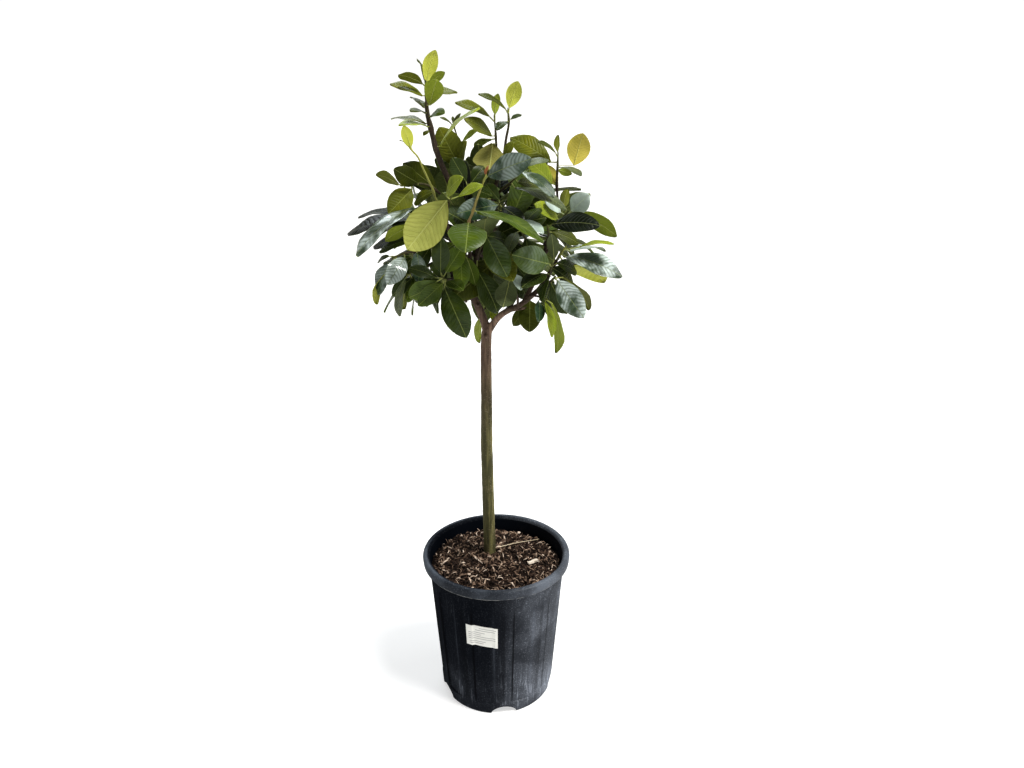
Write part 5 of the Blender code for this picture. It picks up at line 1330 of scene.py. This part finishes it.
def grow_leaf(pose, shows, tone):
    """A copy of the flat leaf, shaped to its pose, its two faces tinted."""
    mesh = flat_leaf.data.copy()
    *shown, shine = TONES[tone]
    shown = Vector(shown) * tone_draw.uniform(*TINT_SPREAD)
    other = shown * OTHER_FACE
    if shows == UPPER:
        upper, under = (*shown, shine), (*(other + UNDER_BLOOM), 0.0)
    else:
        upper, under = (*other, UNSEEN_SHEEN), (*shown, shine)
    tints = []
    for index, (across, share, level) in enumerate(flat_points):
        if index >= rib_start:
            middle, radius, side, normal = rib_place(pose, share)
            mesh.vertices[index].co = middle + side * across * radius + normal * level * radius
            tints += under
        else:
            spot, normal = surface_point(pose, share, across)
            mesh.vertices[index].co = spot + normal * level * LEAF_THICKNESS / 2
            tints += upper if level > 0 else under
    mesh.attributes["tint"].data.foreach_set("color", tints)
    size = min(1.1, (pose.tip - pose.foot).length / FULL_LENGTH)
    mesh.attributes["size"].data.foreach_set("value", [size] * len(flat_points))
    return new_object("leaf", mesh)


# Twig tones: the foot's, the tip's and how late the one turns into the other. Most shoots are woody below
# and green above. A girth over 1 swells a twig at its middle.
WOODY = (0.045, 0.029, 0.020)
GREEN_WOOD = (0.110, 0.120, 0.030)
YELLOW_WOOD = (0.330, 0.330, 0.075)
PINK_WOOD = (0.260, 0.150, 0.090)
TWIG_TONES = {
    "shoot_slender": (GREEN_WOOD, YELLOW_WOOD, 1.0), "shoot_forward": (PINK_WOOD, YELLOW_WOOD, 1.0),
    "shoot_right": (GREEN_WOOD, YELLOW_WOOD, 1.0), "shoot_leader": (WOODY, GREEN_WOOD, 7.0)}
TWIG_GIRTHS = {"shoot_leader": 1.9, "shoot_top_left": 1.3, "shoot_top_middle": 1.35, "shoot_top_right": 1.5,
               "shoot_right_top": 1.4, "shoot_forward": 1.2}
STEM_SIDES = 8
STEM_CUTS = 4
NODE_SWELL = 0.35
NODE_LENGTH = 0.0035
BUD_LENGTH = 0.007
# Rings of the bud: how far each lies from the last, and its size against the twig's tip
BUD_RINGS = ((0.25, 1.25), (0.375, 1.0), (0.375, 0.15))
TWIG_ROOT = 0.005


def grow_stem(name):
    """A shoot's twig, swollen where leaves join it and ending in a pointed bud."""
    _, plain, radii = stems[name]
    sunk = plain[0] - (plain[1] - plain[0]).normalized() * TWIG_ROOT
    route = [sunk] + smooth_route(plain, STEM_CUTS)
    end = (route[-1] - route[-2]).normalized()
    thick = []
    for index, spot in enumerate(route):
        share = index / (len(route) - 1)
        radius = radii[0] + (radii[1] - radii[0]) * share
        radius *= 1.0 + 4 * (TWIG_GIRTHS.get(name, 1.1) - 1.0) * share * (1.0 - share)
        near = min((spot - pose.root).length for pose, _, _ in placed[name])
        thick.append(radius * (1.0 + NODE_SWELL * math.exp(-(near / NODE_LENGTH) ** 2)))
    for share, swell in BUD_RINGS:
        route.append(route[-1] + end * BUD_LENGTH * share)
        thick.append(radii[1] * swell)
    stem = tube(name + "_twig", route, thick, STEM_SIDES)
    wear_finish(stem, blank_upper, blank_under, twig_finish)
    low, high, ripening = TWIG_TONES.get(name, (WOODY, GREEN_WOOD, 2.5))
    tints = []
    for vertex in stem.data.vertices:
        _, place = nearest_on(plain, vertex.co)
        tints += (*Vector(low).lerp(high, min(1.0, place / (len(plain) - 1)) ** ripening), 0.0)
    stem.data.attributes.new("tint", "FLOAT_COLOR", "POINT").data.foreach_set("color", tints)
    for face in stem.data.polygons:
        face.material_index = 2
    return stem


VEIN_PAIRS = 11.0
VEIN_SLANT = 0.50
VEIN_CURVE = 1.9
SHEEN_PAINT_GREY = (0.54, 0.62, 0.59)
RIB_GREEN = (0.40, 0.45, 0.16)
UNDER_RIB_GREEN = (0.52, 0.54, 0.20)
PORE_BUFF = (0.30, 0.25, 0.16)


def leaf_pattern(start):
    """Wires for a blade: tint, sheen, midrib, side veins, the swelling between them, nearness to the edge
    and the leaf's size."""
    tint = kept_value(start, "tint", 0)
    sheen = kept_value(start, "tint", 3)
    across = abs(kept_value(start, "across"))
    spot = start.node("ShaderNodeUVMap", {"uv_map": "blade"})
    share = part_of(spot, 0)
    aside = part_of(spot, 1)
    off = abs(aside)
    wobble = (grain(place_on_piece(start), 48.0, 3.0) - 0.5) * 1.3
    count = VEIN_PAIRS * (share - VEIN_SLANT * off - VEIN_CURVE * off * off) + (aside > 0.0) * 0.5 + wobble
    wave = abs(start.maths("FRACT", count + 20.0) - 0.5) * 2.0
    fade = 1.0 - ease(across, 0.55, 0.95)
    veins = ease(wave, 0.84, 0.97) * fade
    midrib = 1.0 - ease(off - 0.006 * (1.0 - share), 0.003, 0.009)
    size = kept_value(start, "size")
    return tint, sheen, midrib, veins, wave, across, size


def shifted(tint, hue, saturation, value):
    """A tint turned, strengthened and lightened. A hue of 0.5 leaves it unturned."""
    return tint.node("ShaderNodeHueSaturation", {}, {"Hue": hue, "Saturation": saturation, "Value": value,
                                                     "Color": tint})


leaf_finish, start, shader = new_finish("glossy leaf face", Specular_IOR_Level=0.08, Coat_Roughness=0.13)
tint, sheen, midrib, veins, wave, across, size = leaf_pattern(start)
place = place_on_piece(start)
detail = ease(size, 0.35, 0.85)
mottle = grain(place, 42.0, 3.0, 0.45)
fine = grain(place, 420.0, 2.0)
lively = shifted(tint, 0.482, 1.08, 1.60)
# Darker mottled patches, and dark bands beside the veins, are painted shade in the blade's hollows and in
# the grooves along its veins.
painted_shade_tint = shifted(tint, 0.505, 1.05, 0.55)
colour = blend(ease(mottle, 0.50, 0.72) * 0.6, tint, lively)
colour = blend(ease(mottle, 0.46, 0.28) * 0.8, colour, painted_shade_tint)
colour = blend(ease(wave, 0.60, 0.86) * (1.0 - veins) * detail * 0.14, colour, painted_shade_tint)
# Pale patches between the veins are a painted reflection of the bright sky, strong only on the glossiest
# tones. The coat adds real gloss as well.
glint = ease(grain(place, 26.0, 4.0), 0.43, 0.62) * (1.0 - 0.42 * ease(wave, 0.25, 0.90))
wax = sheen * sheen * sheen
colour = blend(wax * glint * 0.90, colour, SHEEN_PAINT_GREY)
pale = blend(0.42, lively, RIB_GREEN)
colour = blend(veins * (0.10 + 0.12 * sheen) * detail, colour, pale)
colour = blend(midrib * 0.58, colour, pale)
colour = blend(ease(across, 0.94, 1.0) * 0.35, colour, pale)
feed(colour, shader["Base Color"])
feed(0.24 + 0.16 * mottle + 0.08 * veins, shader["Roughness"])
feed(0.01 + 0.75 * wax, shader["Coat Weight"])
relief = (1.0 - wave * wave) * (1.0 - ease(across, 0.5, 1.0)) * 0.7 - veins * 0.3 - midrib * 0.9
relief = relief + fine * 0.03 + mottle
feed(bump(relief * size, 0.7, 0.0010), shader["Normal"])

under_finish, start, shader = new_finish("leaf underside", Specular_IOR_Level=0.08)
tint, sheen, midrib, veins, wave, across, size = leaf_pattern(start)
place = place_on_piece(start)
detail = ease(size, 0.35, 0.85)
mottle = grain(place, 55.0, 4.0)
colour = blend(ease(mottle, 0.35, 0.68) * 0.45, tint, shifted(tint, 0.49, 0.95, 1.35))
# Dark bands beside the veins are painted shade in the creases along them.
underside_groove_shade = shifted(tint, 0.492, 1.1, 0.70)
colour = blend(ease(wave, 0.45, 0.84) * (1.0 - veins) * detail * 0.55, colour, underside_groove_shade)
pale = blend(0.5, tint, UNDER_RIB_GREEN)
colour = blend(veins * detail * 0.50, colour, pale)
colour = blend(midrib * 0.85, colour, pale)
feed(colour, shader["Base Color"])
feed(0.50 + 0.15 * mottle, shader["Roughness"])
relief = veins * 0.6 + midrib * 0.8 - (1.0 - wave * wave) * 0.3 * (1.0 - across) + mottle * 0.5
feed(bump(relief * size, 0.6, 0.0010), shader["Normal"])

twig_finish, start, shader = new_finish("young twig bark", Roughness=0.6, Specular_IOR_Level=0.2)
tint = kept_value(start, "tint", 0)
place = place_on_piece(start)
pores = ease(grain(place, 420.0, 2.0), 0.60, 0.70)
streaks = grain(place_on_piece(start, (300.0, 300.0, 60.0)), 1.0, 3.0)
colour = blend(ease(streaks, 0.4, 0.65) * 0.6, tint, shifted(tint, 0.5, 0.9, 0.6))
feed(blend(pores * 0.20, colour, PORE_BUFF), shader["Base Color"])
feed(bump(streaks + pores * 0.5, 0.4, 0.0006), shader["Normal"])

for name in stems:
    stem = grow_stem(name)
    leaves = [grow_leaf(*growth) for growth in placed[name]]
    select_only(stem, *leaves)
    bpy.ops.object.join()
    shoot = bpy.context.object
    shoot.name = "leafy_" + name
    wear_finish(shoot, leaf_finish, under_finish, twig_finish)
    select_only(shoot)
    bpy.ops.object.shade_smooth_by_angle(angle=math.radians(50.0))
    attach(shoot, "root")
    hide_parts(name)
bpy.data.objects.remove(flat_leaf)


# Wood: the trunk, its limbs and the shoots' spurs grew as one piece, so they are knit together from round
# rods, each growing out of the last, with knobs where old shoots were cut away.
ROD_SIDES = 16
SPUR_SIDES = 10
SPUR_FLARE = (1.45, 1.12)
WOOD_FACES_KEPT = 0.5
LUMP_PITCH = 95.0
LUMP_HEIGHT = 0.00045
RIDGE_PITCH = 260.0
RIDGE_HEIGHT = 0.00018
RIDGE_STRETCH = 0.35
BARK_LIGHT = ((0.245, 0.225, 0.094), (0.305, 0.206, 0.146))
BARK_DARK = ((0.062, 0.059, 0.024), (0.080, 0.051, 0.036))
BARK_PATCH = (0.185, 0.160, 0.085)
BARK_PORE = (0.30, 0.25, 0.17)
CROWN_BARK = (0.034, 0.022, 0.015)
rods = []
for name, (route, radii, _) in plain_limbs.items():
    rods.append(tube("rod", smooth_route(route, 1 if name == "trunk" else 3), radii, ROD_SIDES))
for name, (_, _, radii) in stems.items():
    spur_radii = [radii[0] * swell for swell in SPUR_FLARE]
    rods.append(tube("rod", smooth_route(spurs[name], 3), spur_radii, SPUR_SIDES))
for across, down, behind_cm, size in KNOBS:
    rods.append(begin("knob", bpy.ops.mesh.primitive_ico_sphere_add, subdivisions=2, radius=size,
                      location=seen_at(across, down, behind_cm)))
    bpy.ops.object.transform_apply(location=True)
select_only(*rods)
bpy.ops.object.join()
wood = bpy.context.object
wood.name = "trunk_and_limbs"
knit = wood.modifiers.new("Knit", "REMESH")
knit.mode = "VOXEL"
knit.voxel_size = WOOD_GRAIN
ease_off = wood.modifiers.new("Ease", "SMOOTH")
ease_off.factor = 0.5
ease_off.iterations = 3
apply_all(wood)
outward = [vertex.normal.copy() for vertex in wood.data.vertices]
for vertex, normal in zip(wood.data.vertices, outward):
    spot = vertex.co
    stretched = Vector((spot.x, spot.y, spot.z * RIDGE_STRETCH))
    lump = noise.noise(spot * LUMP_PITCH) * LUMP_HEIGHT
    ridge = noise.noise(stretched * RIDGE_PITCH) * RIDGE_HEIGHT
    vertex.co = spot + normal * (lump + ridge)
thin = wood.modifiers.new("Fewer faces", "DECIMATE")
thin.ratio = WOOD_FACES_KEPT
apply_all(wood)
smooth_piece(wood, 70)

fork = seen_at(*TRUNK_ROUTE[-1])
bark_finish, start, shader = new_finish("young bark", Roughness=0.7, Specular_IOR_Level=0.2)
place = place_on_piece(start)
level = part_of(place, 2)
streaks = grain(place_on_piece(start, (170.0, 170.0, 16.0)), 1.0, 5.0, 0.65)
patches = grain(place, 26.0, 4.0)
rings = grain(place_on_piece(start, (60.0, 60.0, 420.0)), 1.0, 3.0)
cells = start.node("ShaderNodeTexVoronoi", {}, {"Vector": place_on_piece(start, (190.0, 190.0, 330.0)),
                                                "Scale": 1.0})
pores = ease(cells, 0.34, 0.16)
warm = ease(level + (patches - 0.5) * 0.12, 0.52, 0.70)
dark = blend(warm, *BARK_DARK)
colour = blend(ease(streaks, 0.40, 0.66) * 0.75, dark, blend(warm, *BARK_LIGHT))
colour = blend(ease(patches, 0.52, 0.72) * 0.5, colour, BARK_PATCH)
colour = blend(pores * ease(patches, 0.35, 0.60) * 0.55, colour, BARK_PORE)
in_crown = ease(level, fork.z + 0.014, fork.z + 0.048)
colour = blend(in_crown * 0.78, colour, CROWN_BARK)
# The trunk's left side below the crown is darkened towards the dark bark tone. This is painted shade, away
# from the lamp on the right.
side = part_of(place, 0)
shaded = 1.0 - ease(side - (foot.x + fork.x) / 2, -0.010, 0.006)
colour = blend(shaded * (1.0 - in_crown) * 0.60, colour, dark)
feed(colour, shader["Base Color"])
feed(bump(streaks * 0.7 + rings * 0.5 + pores * 0.6 + patches, 0.7, 0.0012), shader["Normal"])
wear_finish(wood, bark_finish)
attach(wood, "root")
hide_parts("trunk")


# Sticker: a white paper label with glue on its back, pressed on the pot's front after filling. It follows
# the wall loosely over a rib and a panel, and bears nothing but plain ruled lines.
LABEL_TURNS = (math.radians(-25.5), math.radians(2.0))
LABEL_TOP = 0.2085
LABEL_HEIGHT = 0.045
LABEL_TILT = math.radians(2.5)
LABEL_THICKNESS = 0.0004
LABEL_COLUMNS = 56
LABEL_ROWS = 6
LABEL_FEEL = [math.radians(turn) for turn in (-1.2, -0.6, 0.0, 0.6, 1.2)]
PAPER_TONES = ((0.74, 0.74, 0.70), (0.61, 0.61, 0.57))
LINE_GREY = (0.16, 0.16, 0.17)
LINE_EDGE = (0.010, 0.018)
LINE_FADE = 0.01
# Ruled lines: height on the paper, and where each begins and ends across it, in shares of its size
RULED_LINES = ((0.88, 0.40, 0.95), (0.78, 0.28, 0.92), (0.66, 0.07, 0.60), (0.56, 0.07, 0.48),
               (0.46, 0.07, 0.93), (0.36, 0.07, 0.93), (0.22, 0.10, 0.62), (0.13, 0.10, 0.55))

label = begin("paper_label", bpy.ops.mesh.primitive_grid_add, x_subdivisions=LABEL_COLUMNS,
              y_subdivisions=LABEL_ROWS, size=2.0)
paper_map = label.data.uv_layers.new(name="paper")
for loop in label.data.loops:
    spot = label.data.vertices[loop.vertex_index].co
    paper_map.data[loop.index].uv = ((spot.x + 1) / 2, (spot.y + 1) / 2)
for vertex in label.data.vertices:
    turn = LABEL_TURNS[0] + (LABEL_TURNS[1] - LABEL_TURNS[0]) * (vertex.co.x + 1) / 2
    height = LABEL_TOP - LABEL_HEIGHT * (1 - vertex.co.y) / 2
    height -= (turn - LABEL_TURNS[0]) * body_radius(height) * math.tan(LABEL_TILT)
    stretched = sum(panel_share(turn + off) for off in LABEL_FEEL) / len(LABEL_FEEL)
    radius = body_radius(height) - PANEL_DEPTH * min(stretched, panel_share(turn)) + 2 * TOUCH_GAP
    vertex.co = (radius * math.sin(turn), -radius * math.cos(turn), height)
backing = label.modifiers.new("Thickness", "SOLIDIFY")
backing.thickness = LABEL_THICKNESS
backing.offset = 1.0
apply_all(label)
smooth_piece(label, 40)
label_finish, start, shader = new_finish("white label paper", Roughness=0.55)
spot = start.node("ShaderNodeUVMap", {"uv_map": "paper"})
across = part_of(spot, 0)
up = part_of(spot, 1)
lines = 0.0
for place_up, first, last in RULED_LINES:
    in_line = 1.0 - ease(abs(up - place_up), *LINE_EDGE)
    ends = ease(across, first, first + LINE_FADE) * (1.0 - ease(across, last - LINE_FADE, last))
    lines = in_line * ends + lines
creases = grain(place_on_piece(start), 70.0, 4.0)
paper = blend(ease(creases, 0.35, 0.7) * 0.35, *PAPER_TONES)
feed(blend(lines * 0.70, paper, LINE_GREY), shader["Base Color"])
feed(bump(creases, 0.25, 0.0008), shader["Normal"])
wear_finish(label, label_finish)
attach(label, "root")
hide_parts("label")


# Studio: a wide near-white floor that glows a little and runs into a bright horizon, under a dimmer dome. A
# broad soft lamp shines from the upper right in front, and two large soft panels above and behind give the
# leaves their sheen.
FLOOR_SIZE = 4000.0
FLOOR_GREY = (0.50, 0.50, 0.50, 1.0)
FLOOR_GLOW = 0.62
HORIZON_LIGHT = 1.06
DOME_LIGHT = 0.20
SKY_TINT = (1.0, 0.995, 0.98, 1.0)
LAMP_POWER = 4.2
LAMP_BREADTH = math.radians(20.0)
LAMP_TINT = (1.0, 0.985, 0.95)
LAMP_DIRECTION = Vector((-0.9, 0.45, -1.7))
PANEL_TARGET = Vector((0.0, 0.0, 0.8))
VIEW_GAMMA = 0.88
# Soft panels: name, place, breadth, power and tint
SOFT_PANELS = (("back_panel", (-0.5, 1.5, 2.6), 1.6, 38.0, (0.88, 0.95, 1.0)),
               ("side_panel", (1.7, 0.5, 2.2), 1.2, 16.0, (0.95, 0.98, 1.0)))
floor = begin("studio_floor", bpy.ops.mesh.primitive_plane_add, size=FLOOR_SIZE)
floor_finish, start, shader = new_finish("pale floor", Roughness=0.9, Specular_IOR_Level=0.1)
shader["Base Color"].default_value = FLOOR_GREY
shader["Emission Color"].default_value = (1.0, 1.0, 1.0, 1.0)
shader["Emission Strength"].default_value = FLOOR_GLOW
wear_finish(floor, floor_finish)

world = bpy.data.worlds.new("studio")
world.use_nodes = True
bpy.context.scene.world = world
start = Wire(world.node_tree)
upward = part_of(start.node("ShaderNodeTexCoord"), 2)
light = HORIZON_LIGHT - (HORIZON_LIGHT - DOME_LIGHT) * ease(upward, 0.20, 0.32)
sky = world.node_tree.nodes["Background"].inputs
feed(light, sky["Strength"])
sky["Color"].default_value = SKY_TINT

sun = bpy.data.lights.new("soft_lamp", "SUN")
sun.energy = LAMP_POWER
sun.angle = LAMP_BREADTH
sun.color = LAMP_TINT
lamp = new_object("soft_lamp", sun)
lamp.rotation_euler = LAMP_DIRECTION.to_track_quat("-Z", "Y").to_euler()
for name, spot, size, power, tint in SOFT_PANELS:
    panel = bpy.data.lights.new(name, "AREA")
    panel.size = size
    panel.energy = power
    panel.color = tint
    lamp = new_object(name, panel)
    lamp.location = spot
    lamp.rotation_euler = (PANEL_TARGET - Vector(spot)).to_track_quat("-Z", "Y").to_euler()
bpy.context.scene.view_settings.view_transform = "Standard"
bpy.context.scene.view_settings.gamma = VIEW_GAMMA
